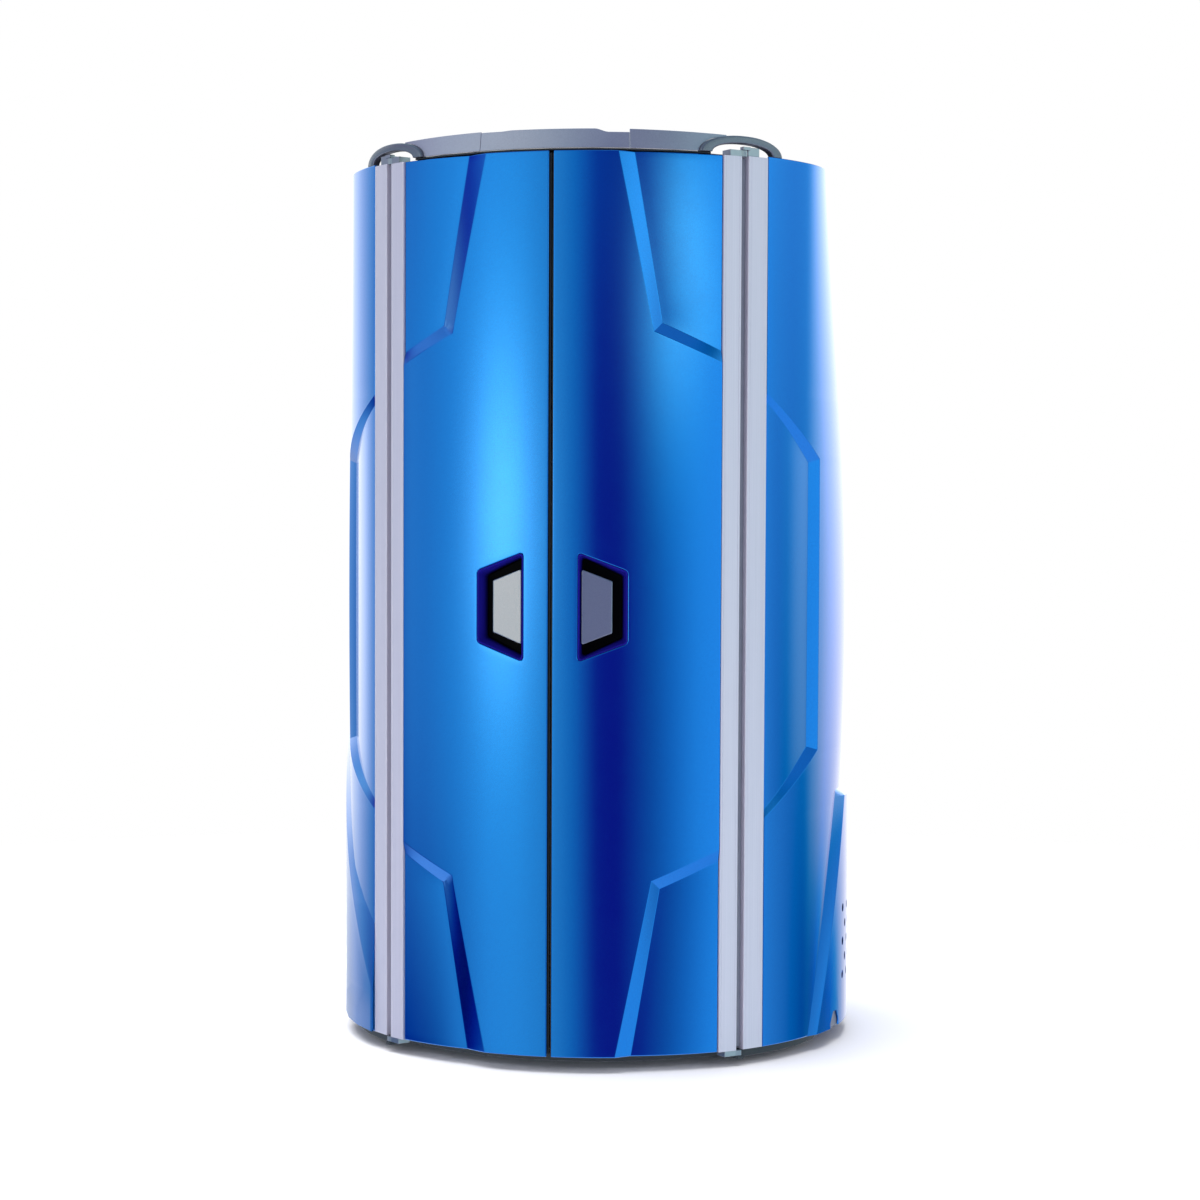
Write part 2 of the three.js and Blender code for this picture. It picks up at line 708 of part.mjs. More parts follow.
// Rear cover: a barrel-shaped service cover between the side panels, with air slots
function rear() {
  const from = SIDE_END + span(GAP, POST_INNER);
  const steps = 2 * Math.ceil((180 - from) / FACET);
  const heights = spread(DOOR_BOTTOM, LID_TOP, 7);
  const rows = heights.map((height) => spread(from, 360 - from, steps).map((angle) => {
    const outer = bodyRadius(Math.min(angle, 360 - angle), height);
    return { angle, height, outer, inner: outer - SKIN };
  }));
  const slots = [];
  for (const start of [LOWER_SLOTS, UPPER_SLOTS]) {
    for (let i = 0; i < SLOT_COUNT; i += 1) {
      const bottom = start + i * SLOT_PITCH;
      slots.push(sector(180 - SLOT_HALF_ANGLE, 180 + SLOT_HALF_ANGLE, bottom, bottom + SLOT_HEIGHT));
    }
  }

  const seat = bodyRadius(180, GLAND_HEIGHT + GLAND_DIAMETER / 2) + GAP;
  const round = (diameter, start, end, sides) => {
    const geometry = new THREE.CylinderGeometry(diameter / 2, diameter / 2, end - start, sides);
    return placed(geometry.translate(0, -(start + end) / 2, GLAND_HEIGHT), 180, seat);
  };
  const nut = round(GLAND_DIAMETER, 0, GLAND_LENGTH / 2, HEXAGON);
  const neck = round(GLAND_NECK, -GLAND_TAIL, GLAND_LENGTH, SMALL_ROUND);
  const bore = round(GLAND_BORE, -GLAND_TAIL - OVERLAP, GLAND_LENGTH + OVERLAP, SMALL_ROUND);
  const hole = round(GLAND_NECK + GAP * 2, -GLAND_TAIL, GLAND_LENGTH, SMALL_ROUND);
  piece("rear_cover", cut(shell(rows), ...slots, hole), BLUE);
  piece("power_gland", cut(join(nut, neck), bore), BLACK);
}

// Roof: lid, upright grey fascia in three lengths, and the arched rims over the hinges
function roof() {
  const archStart = ARCH_CENTRE - ARCH_HOLE_HALF;
  const archEnd = ARCH_CENTRE + ARCH_HOLE_HALF;
  const lidRadius = (angle) => {
    const off = Math.abs(angle);
    if (off > archStart && off < archEnd) {
      return POST_INNER + LID_ON_POST;
    }
    return Math.min(FASCIA_RADIUS, bodyRadius(angle, LID_TOP) - SKIN - PANEL_FIT);
  };
  const breaks = [archStart, archEnd, BARREL_START, SIDE_END];
  const lid = roundPlate(lidRadius, breaks, LID_BOTTOM, LID_TOP);
  const fanHole = disc(FAN_BORE + FAN_WALL + GAP, LID_BOTTOM - OVERLAP, LID_TOP + OVERLAP);
  piece("roof_lid", cut(lid, fanHole), STEEL_GREY);

  const inner = FASCIA_RADIUS - FASCIA_WALL;
  const flat = () => FASCIA_BASE;
  const seam = FASCIA_SEAM - span(GAP, FASCIA_RADIUS) / 2;
  const dip = FASCIA_CROWN + FASCIA_CROWN_BEVEL;
  const crown = [[FASCIA_CROWN, FASCIA_TOP], [dip, FASCIA_TOP - FASCIA_DIP]];
  const crownAt = (angle) => along(crown, Math.abs(angle));
  const crownAngles = [-seam, -dip, ...spread(-FASCIA_CROWN, FASCIA_CROWN, 4), dip, seam];
  piece("roof_fascia_centre", fence(crownAngles, flat, crownAt, inner, FASCIA_RADIUS), ROOF_GREY);

  const ellipse = (angle, halfWidth, height) => {
    const part = Math.min(1, Math.abs(angle - ARCH_CENTRE) / halfWidth);
    return height * Math.sqrt(1 - part ** ARCH_SQUARENESS);
  };
  const archTop = (angle) => FASCIA_BASE + ellipse(angle, ARCH_HALF, ARCH_HEIGHT);
  const archHole = (angle) => FASCIA_BASE + ellipse(angle, ARCH_HOLE_HALF, ARCH_HOLE_HEIGHT);
  const rounded = (halfWidth, steps) =>
    spread(0, 180, steps).map((turn) => ARCH_CENTRE - halfWidth * Math.cos(radians(turn)));
  const rimAngles = [...rounded(ARCH_HALF - ARCH_TOE, 12), ...rounded(ARCH_HOLE_HALF, 7)];
  rimAngles.sort((a, b) => a - b);
  const rimInner = FASCIA_RADIUS + ARCH_PROUD - ARCH_DEPTH;
  const rim = fence(rimAngles, archHole, archTop, rimInner, FASCIA_RADIUS + ARCH_PROUD);
  pair("hinge_arch", rim, ARCH_GREY);

  const shoulderTop = FASCIA_BASE + ARCH_HEIGHT + GAP * 2;
  const fasciaTopAt = (angle) => along([[FASCIA_SEAM, FASCIA_TOP], [ARCH_CENTRE, shoulderTop]], angle);
  const archRoom = (angle) => archTop(angle) + GAP;
  const archFoot = ARCH_CENTRE - ARCH_HALF - span(GAP, FASCIA_RADIUS);
  const outsideArch = (angle) => (angle > archFoot ? archRoom(angle) : FASCIA_BASE);
  const shoulder = rimAngles.filter((angle) => angle < FASCIA_END);
  const start = FASCIA_SEAM + span(GAP, FASCIA_RADIUS) / 2;
  const sideAngles = [...spread(start, archFoot, 3), ...shoulder];
  const sideFascia = fence(sideAngles, outsideArch, fasciaTopAt, inner, FASCIA_RADIUS);
  const below = () => FASCIA_BASE - OVERLAP;
  const rimRoom = fence(rimAngles, below, archRoom, rimInner - GAP, FASCIA_RADIUS + ARCH_PROUD);
  pair("roof_fascia", cut(sideFascia, rimRoom), ROOF_GREY);
}

// Ceiling over the user, notched for the service columns, with the fan's intake grille
function ceiling() {
  const columnStart = COLUMN_ANGLE - COLUMN_HALF - span(GAP, SHIELD_INNER);
  const columnEnd = COLUMN_ANGLE + COLUMN_HALF + span(GAP, SHIELD_INNER);
  const radiusAt = (angle) => {
    const off = Math.abs(angle);
    const drawnIn = off < BANK_START || (off > columnStart && off < columnEnd);
    return drawnIn ? FLOOR_RADIUS : REFLECTOR_OUTER;
  };
  const breaks = [BANK_START, columnStart, columnEnd];
  const plateTop = CEILING_BOTTOM + CEILING;
  const plate = roundPlate(radiusAt, breaks, CEILING_BOTTOM, plateTop);
  const intake = disc(FAN_BORE, CEILING_BOTTOM - OVERLAP, plateTop + OVERLAP);
  piece("ceiling_plate", cut(plate, intake), WHITE_STEEL);
  const top = CEILING_BOTTOM - GAP;
  piece("ceiling_grille", grille(FAN_BORE + FAN_FLANGE / 2, top - GUARD_WIRE, top), ALUMINIUM);
}

// Round grille: wire rings on crossing spokes
function grille(radius, bottom, top) {
  const parts = [];
  for (let outer = radius; outer > GUARD_PITCH / 2; outer -= GUARD_PITCH) {
    parts.push(ring(outer - GUARD_WIRE, outer, bottom, top, SMALL_ROUND));
  }
  for (const turn of [45, 135]) {
    const reach = radius - GUARD_WIRE / 2;
    const spoke = block(-reach, reach, -GUARD_WIRE / 2, GUARD_WIRE / 2, bottom, top);
    parts.push(spoke.rotateZ(radians(turn)));
  }
  return join(...parts);
}

// Exhaust fan: housing with motor and shaft, rotor on the shaft, guard on the flange
function fan() {
  const outer = FAN_BORE + FAN_WALL;
  const flangeBottom = LID_TOP + GAP;
  const flangeTop = flangeBottom + GUARD_WIRE;
  const housingBottom = LID_BOTTOM - FAN_DEPTH;
  const motorTop = flangeTop - GUARD_WIRE;
  const motorBottom = motorTop - MOTOR_HEIGHT;
  const hubTop = motorBottom - RUNNING_GAP;
  const hubBottom = hubTop - HUB_HEIGHT;
  const shaftBottom = hubTop - HUB_BORE_DEPTH + RUNNING_GAP;
  const spiderBottom = motorBottom + (MOTOR_HEIGHT - SPIDER_HEIGHT) / 2;
  const spiders = [0, 90].map((turn) => {
    const reach = FAN_BORE + FAN_WALL / 2;
    const half = SPIDER_WIDTH / 2;
    const arm = block(-reach, reach, -half, half, spiderBottom, spiderBottom + SPIDER_HEIGHT);
    return arm.rotateZ(radians(turn));
  });
  const housing = join(
    ring(FAN_BORE, outer, housingBottom, flangeTop),
    ring(FAN_BORE, outer + FAN_FLANGE, flangeBottom, flangeTop),
    disc(MOTOR_RADIUS, motorBottom, motorTop),
    disc(SHAFT_RADIUS, shaftBottom, motorBottom + OVERLAP, SMALL_ROUND),
    ...spiders,
  );
  piece("fan_housing", housing, BLACK);
  const guardBottom = flangeTop + GAP;
  const guard = grille(outer + FAN_FLANGE, guardBottom, guardBottom + GUARD_WIRE);
  piece("fan_guard", guard, ALUMINIUM);

  const section = (pitch) => {
    const [cosine, sine] = [Math.cos(radians(pitch)), Math.sin(radians(pitch))];
    const corners = [[-1, -1], [1, -1], [1, 1], [-1, 1]];
    return corners.map(([u, v]) => {
      const chord = (u * BLADE_CHORD) / 2;
      const depth = (v * BLADE_THICKNESS) / 2;
      return [chord * cosine - depth * sine, chord * sine + depth * cosine];
    });
  };
  const middle = (hubTop + hubBottom) / 2;
  const root = HUB_RADIUS - BLADE_ROOT_SEAT;
  const tip = FAN_BORE - BLADE_TIP_GAP;
  const blades = Array.from({ length: BLADE_COUNT }, (_, i) => {
    const blade = frustum(section(BLADE_ROOT_PITCH), root, section(BLADE_TIP_PITCH), tip);
    return blade.translate(0, 0, middle).rotateZ(radians((360 * i) / BLADE_COUNT));
  });
  const hub = disc(HUB_RADIUS, hubBottom, hubTop);
  const boreRadius = SHAFT_RADIUS + PIN_CLEARANCE;
  const bore = disc(boreRadius, hubTop - HUB_BORE_DEPTH, hubTop + OVERLAP, SMALL_ROUND);
  piece("fan_rotor", cut(join(hub, ...blades), bore), STEEL_GREY);
}

// Row of lamps standing between two lampholder rails
function lampBank(from, to, bottom, top) {
  const holderInner = LAMP_CIRCLE - LAMP_DIAMETER / 2 - HOLDER_MARGIN;
  const holderOuter = LAMP_CIRCLE + LAMP_DIAMETER / 2 + HOLDER_MARGIN;
  const count = Math.floor(radians(to - from) * LAMP_CIRCLE / LAMP_PITCH);
  const parts = [
    wedge(holderInner, holderOuter, from, to, bottom, bottom + HOLDER_HEIGHT),
    wedge(holderInner, holderOuter, from, to, top - HOLDER_HEIGHT, top),
  ];
  const lampBottom = bottom + HOLDER_HEIGHT - LAMP_SEAT;
  const lampTop = top - HOLDER_HEIGHT + LAMP_SEAT;
  for (let i = 0; i < count; i += 1) {
    const spot = polar(LAMP_CIRCLE, lerp(from, to, (i + 0.5) / count), 0);
    const lamp = disc(LAMP_DIAMETER / 2, lampBottom, lampTop, HEXAGON);
    parts.push(lamp.translate(spot.x, spot.y, 0));
  }
  return join(...parts);
}

// Fixed lamp banks: side banks from the posts to the columns, rear bank between the columns
function banks() {
  const bottom = BASE_TOP + GAP;
  const top = CEILING_BOTTOM - GAP;
  const clear = span(GAP, SHIELD_INNER);
  const columnStart = COLUMN_ANGLE - COLUMN_HALF - clear;
  const columnEnd = COLUMN_ANGLE + COLUMN_HALF + clear;
  const sheet = (inner, outer, from, to) => wedge(inner, outer, from, to, bottom, top);
  pair("side_reflector", sheet(REFLECTOR_INNER, REFLECTOR_OUTER, BANK_START, columnStart), MIRROR);
  pair("side_lamps", lampBank(BANK_START, columnStart, bottom, top), LAMP_WHITE);
  pair("side_shield", sheet(SHIELD_INNER, SHIELD_OUTER, BANK_START, columnStart), ACRYLIC);
  piece("rear_reflector", sheet(REFLECTOR_INNER, REFLECTOR_OUTER, columnEnd, 360 - columnEnd), MIRROR);
  piece("rear_lamps", lampBank(columnEnd, 360 - columnEnd, bottom, top), LAMP_WHITE);
  piece("rear_shield", sheet(SHIELD_INNER, SHIELD_OUTER, columnEnd, 360 - columnEnd), ACRYLIC);

  const plateInner = REFLECTOR_OUTER + GAP;
  const plateOuter = plateInner + TRAY_SHEET;
  const halfHeight = BALLAST_PITCH * BALLAST_ROWS / 2;
  const parts = [wedge(
    plateInner,
    plateOuter,
    columnEnd,
    360 - columnEnd,
    MIDDLE - halfHeight,
    MIDDLE + halfHeight,
  )];
  for (let row = 0; row < BALLAST_ROWS; row += 1) {
    for (let column = 0; column < BALLAST_COLUMNS; column += 1) {
      const angle = 180 + (column - (BALLAST_COLUMNS - 1) / 2) * BALLAST_PITCH_ANGLE;
      const height = MIDDLE + (row - (BALLAST_ROWS - 1) / 2) * BALLAST_PITCH;
      parts.push(wedge(
        plateOuter - TRAY_SHEET / 2,
        plateOuter + BALLAST_DEPTH,
        angle - BALLAST_HALF_ANGLE,
        angle + BALLAST_HALF_ANGLE,
        height - BALLAST_HEIGHT / 2,
        height + BALLAST_HEIGHT / 2,
      ));
    }
  }
  piece("ballast_tray", join(...parts), STEEL_GREY);
}

// Control panel on the inner face of the right-hand service column
function controls() {
  const faceRadius = SHIELD_INNER * Math.cos(radians(COLUMN_HALF));
  const face = GAP + PANEL_DEPTH;
  const here = (geometry) => placed(geometry, COLUMN_ANGLE, faceRadius);
  const barrel = (radius, from, to, height) => {
    const geometry = new THREE.CylinderGeometry(radius, radius, to - from, SMALL_ROUND);
    return geometry.translate(0, (from + to) / 2, height);
  };
  const halfWidth = PANEL_WIDTH / 2;
  const bottom = PANEL_CENTRE - PANEL_HEIGHT / 2;
  const buttonHeights = [0, 1, 2].map((i) => bottom + BUTTON_START + i * BUTTON_PITCH);
  const tools = buttonHeights.map((height) => barrel(
    BUTTON_DIAMETER / 2 + PIN_CLEARANCE,
    face - BUTTON_SEAT - BUTTON_TRAVEL - PIN_CLEARANCE,
    face + OVERLAP,
    height,
  ));
  const margin = (PANEL_WIDTH - DISPLAY_WIDTH) / 2;
  const displayBottom = bottom + PANEL_HEIGHT - margin - DISPLAY_HEIGHT;
  const window = (grow, depth, rise) => block(
    -DISPLAY_WIDTH / 2 - grow,
    DISPLAY_WIDTH / 2 + grow,
    face - depth,
    face + rise,
    displayBottom - grow,
    displayBottom + DISPLAY_HEIGHT + grow,
  );
  const body = block(-halfWidth, halfWidth, GAP, face, bottom, bottom + PANEL_HEIGHT);
  piece("control_panel", here(cut(body, ...tools, window(GAP, DISPLAY_DEPTH, OVERLAP))), BLACK);
  piece("display_window", here(window(0, DISPLAY_DEPTH - GAP, 0)), BLACK);
  const finishes = [["stop_button", RED], ["fan_button", WHITE_STEEL], ["start_button", GREEN]];
  finishes.forEach(([name, finish], i) => {
    const [seat, front] = [face - BUTTON_SEAT, face + BUTTON_PROUD];
    piece(name, here(barrel(BUTTON_DIAMETER / 2, seat, front, buttonHeights[i])), finish);
  });
}

// Pivot hinges: a bracket with a pin on each post top, and one under each door on the base
function hinges() {
  const postSide = HINGE_RADIUS * Math.tan(radians(POST_START - HINGE_ANGLE));
  const here = (geometry) => placed(geometry, HINGE_ANGLE, HINGE_RADIUS);
  const pin = (bottom, top) => disc(PIN_DIAMETER / 2, bottom, top, SMALL_ROUND);
  const arm = PIN_DIAMETER;

  const seat = LID_BOTTOM;
  const armBottom = DOOR_TOP + DOOR_BLOCK + RUNNING_GAP;
  const armTop = armBottom + HINGE_PLATE;
  const top = join(
    block(postSide + RUNNING_GAP, HINGE_LENGTH, 0, HINGE_DEPTH, seat, armTop),
    block(-arm, postSide + RUNNING_GAP * 4, -KNUCKLE_RADIUS, arm, armBottom, armTop),
    pin(DOOR_TOP + RUNNING_GAP, armBottom + OVERLAP),
  );
  pair("top_hinge_bracket", here(top), SILVER);

  const plateTop = DOOR_BOTTOM - FOOT_BLOCK - RUNNING_GAP;
  const innerRadius = HINGE_RADIUS - HINGE_DEPTH;
  const innerSide = innerRadius * Math.tan(radians(POST_START - HINGE_ANGLE)) - GAP;
  const foot = join(
    block(-arm, innerSide, -KNUCKLE_RADIUS, HINGE_DEPTH, plateTop - HINGE_PLATE, plateTop),
    pin(plateTop - OVERLAP, DOOR_BOTTOM - RUNNING_GAP),
  );
  pair("bottom_hinge_bracket", here(foot), STEEL_GREY);
}

// Hinge block at one end of a door's edge profile, bored for the pivot pin
function doorBlock(bottom, top) {
  const reach = span(STRIP_WALL, HINGE_RADIUS);
  const near = -HINGE_RADIUS * Math.tan(radians(HINGE_ANGLE - PROFILE_EDGE + reach / 2));
  const shape = new THREE.Shape();
  const front = OVERLAP - PIVOT_SETBACK;
  shape.moveTo(-HINGE_LENGTH, front);
  shape.lineTo(near, front);
  shape.lineTo(0, -KNUCKLE_RADIUS);
  shape.absarc(0, 0, KNUCKLE_RADIUS, -Math.PI / 2, Math.PI / 2, false);
  shape.lineTo(near, HINGE_DEPTH);
  shape.lineTo(-HINGE_LENGTH, HINGE_DEPTH);
  const hole = new THREE.Path();
  hole.absarc(0, 0, PIN_DIAMETER / 2 + PIN_CLEARANCE, 0, Math.PI * 2, true);
  shape.holes.push(hole);
  return placed(prism(shape, bottom, top, SMALL_ROUND / 2), HINGE_ANGLE, HINGE_RADIUS);
}

// Door skin: a curved moulding whose middle field stands proud of its outer corners
function doorSkin(pullRoom) {
  const edge = (rise, end, corner, cornerRise, edgeRise) => (rise < cornerRise
    ? lerp(end, corner, rise / cornerRise)
    : lerp(corner, DOOR_EDGE, (rise - cornerRise) / (edgeRise - cornerRise)));
  const raisedAt = (rise) =>
    edge(rise, RAISED_END, RAISED_CORNER, RAISED_CORNER_RISE, RAISED_EDGE_RISE);
  const lowAt = (rise) => edge(rise, LOW_END, LOW_CORNER, LOW_CORNER_RISE, LOW_EDGE_RISE);
  const lastRise = RAISED_EDGE_RISE + TRIM;
  const lastAngle = lowAt(lastRise) + TRIM_ANGLE;
  const rises = [-TRIM, LOW_CORNER_RISE, ...spread(RAISED_CORNER_RISE, lastRise, 4)];
  const heights = rises.flatMap((rise) => [DOOR_BOTTOM + rise, DOOR_TOP - rise]);
  const depthAt = (angle) => {
    const share = Math.max(0, angle - LOW_CORNER) / (DOOR_EDGE - LOW_CORNER);
    return lerp(RELIEF, EDGE_RELIEF, share);
  };
  const rows = heights.sort((a, b) => a - b).map((height) => {
    const rise = Math.min(height - DOOR_BOTTOM, DOOR_TOP - height);
    const spot = (angle, depth) => {
      const outer = BODY_RADIUS - depth;
      return { angle, height, outer, inner: outer - SKIN };
    };
    return [
      ...spread(-TRIM_ANGLE, raisedAt(rise), 7).map((angle) => spot(angle, 0)),
      ...spread(lowAt(rise), lastAngle, 4).map((angle) => spot(angle, depthAt(angle))),
    ];
  });
  const splitAngle = span(SPLIT_GAP / 2, BODY_RADIUS);
  const room = sector(splitAngle, DOOR_EDGE, DOOR_BOTTOM, DOOR_TOP);
  return cut(keep(shell(rows), room), pullRoom);
}

// Outline of a door pull: taller on the side by the split
function pullOutline(inset) {
  const half = PULL_WIDTH / 2 - inset;
  const tall = PULL_TALL_SIDE / 2 - inset;
  const short = PULL_SHORT_SIDE / 2 - inset;
  return [
    [-half, MIDDLE - tall],
    [half, MIDDLE - short],
    [half, MIDDLE + short],
    [-half, MIDDLE + tall],
  ];
}

function doors() {
  const here = (geometry) => placed(geometry, PULL_ANGLE, BODY_RADIUS);
  const room = frustum(pullOutline(-GAP), -PULL_LIP, pullOutline(PULL_TAPER - GAP), PULL_DEPTH);
  pair("door_skin", doorSkin(here(room)), BLUE);

  const outside = frustum(pullOutline(0), -PULL_LIP, pullOutline(PULL_TAPER), PULL_DEPTH);
  const mouthDepth = -PULL_LIP - OVERLAP;
  const backDepth = PULL_DEPTH - PULL_WALL;
  const inside = frustum(
    pullOutline(PULL_WALL),
    mouthDepth,
    pullOutline(PULL_TAPER + PULL_WALL),
    backDepth,
  );
  const flush = wedge(POST_INNER / 2, BODY_RADIUS + GAP, 0, DOOR_EDGE, DOOR_BOTTOM, DOOR_TOP, FACET);
  pair("handle_cup", keep(here(cut(outside, inside)), flush), NAVY);

  const gripBack = GRIP_SETBACK + GRIP_PLATE;
  const wallInset = PULL_WALL + PULL_TAPER * (gripBack - mouthDepth) / (backDepth - mouthDepth);
  const gripStart = -PULL_WIDTH / 2 + wallInset + GAP;
  const gripOutline = [
    [gripStart, MIDDLE - GRIP_TALL_SIDE / 2],
    [gripStart + GRIP_WIDTH, MIDDLE - GRIP_SHORT_SIDE / 2],
    [gripStart + GRIP_WIDTH, MIDDLE + GRIP_SHORT_SIDE / 2],
    [gripStart, MIDDLE + GRIP_TALL_SIDE / 2],
  ];
  const footStart = gripStart + PULL_TAPER;
  const footHalf = GRIP_SHORT_SIDE / 2;
  const grip = join(
    frustum(gripOutline, GRIP_SETBACK, gripOutline, gripBack),
    block(
      footStart,
      footStart + GRIP_FOOT,
      gripBack - OVERLAP,
      backDepth - GAP,
      MIDDLE - footHalf,
      MIDDLE + footHalf,
    ),
  );
  pair("grip_plate", here(grip), SILVER);

  const strip = span(STRIP_WALL, BODY_RADIUS);
  const stripStart = DOOR_EDGE + span(GAP, POST_INNER);
  const face = BODY_RADIUS;
  const channel = plan([
    polar(face, stripStart),
    polar(face, PROFILE_EDGE),
    polar(POST_INNER, PROFILE_EDGE),
    polar(POST_INNER, PROFILE_EDGE - strip),
    polar(face - STRIP_WALL, PROFILE_EDGE - strip),
    polar(face - STRIP_WALL, stripStart + strip),
    polar(POST_INNER, stripStart + strip),
    polar(POST_INNER, stripStart),
  ]);
  const profile = join(
    prism(channel, DOOR_BOTTOM, DOOR_TOP),
    doorBlock(DOOR_TOP - OVERLAP, DOOR_TOP + DOOR_BLOCK),
    doorBlock(DOOR_BOTTOM - FOOT_BLOCK, DOOR_BOTTOM + OVERLAP),
  );
  pair("door_edge_profile", profile, ALUMINIUM);

  const trayStart = span(SPLIT_GAP, SHIELD_INNER);
  const trayEnd = DOOR_EDGE;
  const trayBottom = DOOR_BOTTOM + TRAY_SHEET;
  const trayTop = DOOR_TOP - TRAY_SHEET;
  const lowInside = BODY_RADIUS - RELIEF - SKIN - PANEL_FIT;
  const mouth = SHIELD_OUTER + GAP;
  const side = span(TRAY_SHEET, mouth);
  const tray = join(
    wedge(REFLECTOR_INNER, REFLECTOR_OUTER, trayStart, trayEnd, trayBottom, trayTop),
    wedge(mouth, BODY_RADIUS - SKIN - PANEL_FIT, trayStart, trayStart + side, trayBottom, trayTop),
    wedge(mouth, lowInside, trayEnd - side, trayEnd, trayBottom, trayTop),
    wedge(mouth, lowInside, trayStart, trayEnd, trayBottom, trayBottom + TRAY_SHEET),
    wedge(mouth, lowInside, trayStart, trayEnd, trayTop - TRAY_SHEET, trayTop),
  );
  pair("door_tray", tray, WHITE_STEEL);

  const lampClear = span(GAP, LAMP_CIRCLE) + side;
  const lamps = lampBank(
    trayStart + lampClear,
    trayEnd - lampClear,
    trayBottom + TRAY_SHEET + GAP,
    trayTop - TRAY_SHEET - GAP,
  );
  pair("door_lamps", lamps, LAMP_WHITE);
  const shield = wedge(SHIELD_INNER, SHIELD_OUTER, trayStart, trayEnd, trayBottom, trayTop);
  pair("door_shield", shield, ACRYLIC);
}

base();
uprights();
sides();
rear();
roof();
ceiling();
fan();
banks();
controls();
hinges();
doors();

export default cabin;
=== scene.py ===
import math

import bmesh
import bpy
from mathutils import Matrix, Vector


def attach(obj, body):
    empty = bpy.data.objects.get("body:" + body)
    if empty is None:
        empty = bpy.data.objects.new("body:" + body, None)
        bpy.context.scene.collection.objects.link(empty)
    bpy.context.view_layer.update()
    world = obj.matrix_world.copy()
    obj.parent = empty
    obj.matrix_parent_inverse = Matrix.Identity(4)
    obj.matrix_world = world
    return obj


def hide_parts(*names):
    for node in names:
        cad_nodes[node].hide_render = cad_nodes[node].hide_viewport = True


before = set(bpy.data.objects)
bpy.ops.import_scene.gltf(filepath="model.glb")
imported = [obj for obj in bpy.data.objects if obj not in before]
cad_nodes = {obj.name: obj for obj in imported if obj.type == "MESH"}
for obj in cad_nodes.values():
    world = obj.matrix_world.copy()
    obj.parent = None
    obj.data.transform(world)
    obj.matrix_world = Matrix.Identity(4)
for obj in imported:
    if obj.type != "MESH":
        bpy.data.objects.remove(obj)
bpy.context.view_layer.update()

scene = bpy.context.scene

# Camera. The photograph was taken from a little right of the middle at chest height, with a
# long lens tilted slightly down. The lens is shifted a little, which keeps the cabin upright.
MM = 0.001
FRAME_PIXELS = 1200
FOCAL_PIXELS = 2532.5
LENS_SHIFT = 1 / 30
SENSOR = 36
CAMERA_DISTANCE = 6792
CAMERA_HEIGHT = 1330
CAMERA_AZIMUTH = 10.1
CAMERA_TURN = 10.06
CAMERA_PITCH = 2.51
CAMERA_ROLL = -0.24


def polar(radius, angle, height):
    """Point in metres, from a radius and height in mm and an angle in degrees from the front."""
    turn = math.radians(angle)
    return Vector((radius * math.sin(turn), -radius * math.cos(turn), height)) * MM


lens = bpy.data.cameras.new("camera")
lens.sensor_width = SENSOR
lens.lens = SENSOR * FOCAL_PIXELS / FRAME_PIXELS
lens.shift_y = LENS_SHIFT
camera = bpy.data.objects.new("camera", lens)
camera.location = polar(CAMERA_DISTANCE, CAMERA_AZIMUTH, CAMERA_HEIGHT)
camera.rotation_euler = [math.radians(turn) for turn in (90 - CAMERA_PITCH, CAMERA_ROLL, CAMERA_TURN)]
scene.collection.objects.link(camera)
scene.camera = camera
scene.view_settings.view_transform = "Standard"

# Base: a pressed steel pan, powder coated dark grey, drawn in under the doors. Four rubber
# levelling feet screw up into it, and the tread that the user stands on lies on it.
TREAD_BOTTOM = 40.4
TREAD_TOP = 100
TREAD_RADIUS = 507
TREAD_SHEET = 12
TREAD_EDGE = 8
RIB_PITCH = 22
RIB_DEPTH = 1.6
FOOT_CIRCLE = 520
FOOT_PROFILE = ((0, 0), (30, 0), (32, 2), (32, 6), (29, 9), (13, 10), (9, 12), (9, 35.6), (0, 35.6))
NUT_PROFILE = ((0, 15), (15, 15), (15, 23), (0, 23))
WELD = 0.02
SHARP = 38


def linear(colour):
    """A #rrggbb colour as linear red, green, blue and alpha."""
    parts = [int(colour[i:i + 2], 16) / 255 for i in (1, 3, 5)]
    return [p / 12.92 if p < 0.04045 else ((p + 0.055) / 1.055) ** 2.4 for p in parts] + [1]


def plug(tree, made, sockets):
    """Links a node's sockets, or sets them to values or to #rrggbb colours."""
    for name, value in sockets.items():
        if isinstance(value, bpy.types.NodeSocket):
            tree.links.new(value, made.inputs[name])
        else:
            made.inputs[name].default_value = linear(value) if isinstance(value, str) else value


def node(tree, kind, sockets=None, **settings):
    """Adds a shader node with its settings and sockets."""
    made = tree.nodes.new("ShaderNode" + kind)
    for name, value in settings.items():
        setattr(made, name, value)
    plug(tree, made, sockets or {})
    return made


def blend(tree, value, stops):
    """Colour that runs through (position, colour) stops with a value."""
    made = node(tree, "ValToRGB", {"Fac": value})
    elements = made.color_ramp.elements
    elements.remove(elements[1])
    for i, (position, colour) in enumerate(stops):
        stop = elements.new(position) if i else elements[0]
        stop.position = position
        stop.color = linear(colour)
    return made.outputs["Color"]


def per_metre(size):
    """Scale of a pattern whose features measure this many mm."""
    return 1 / (size * MM)


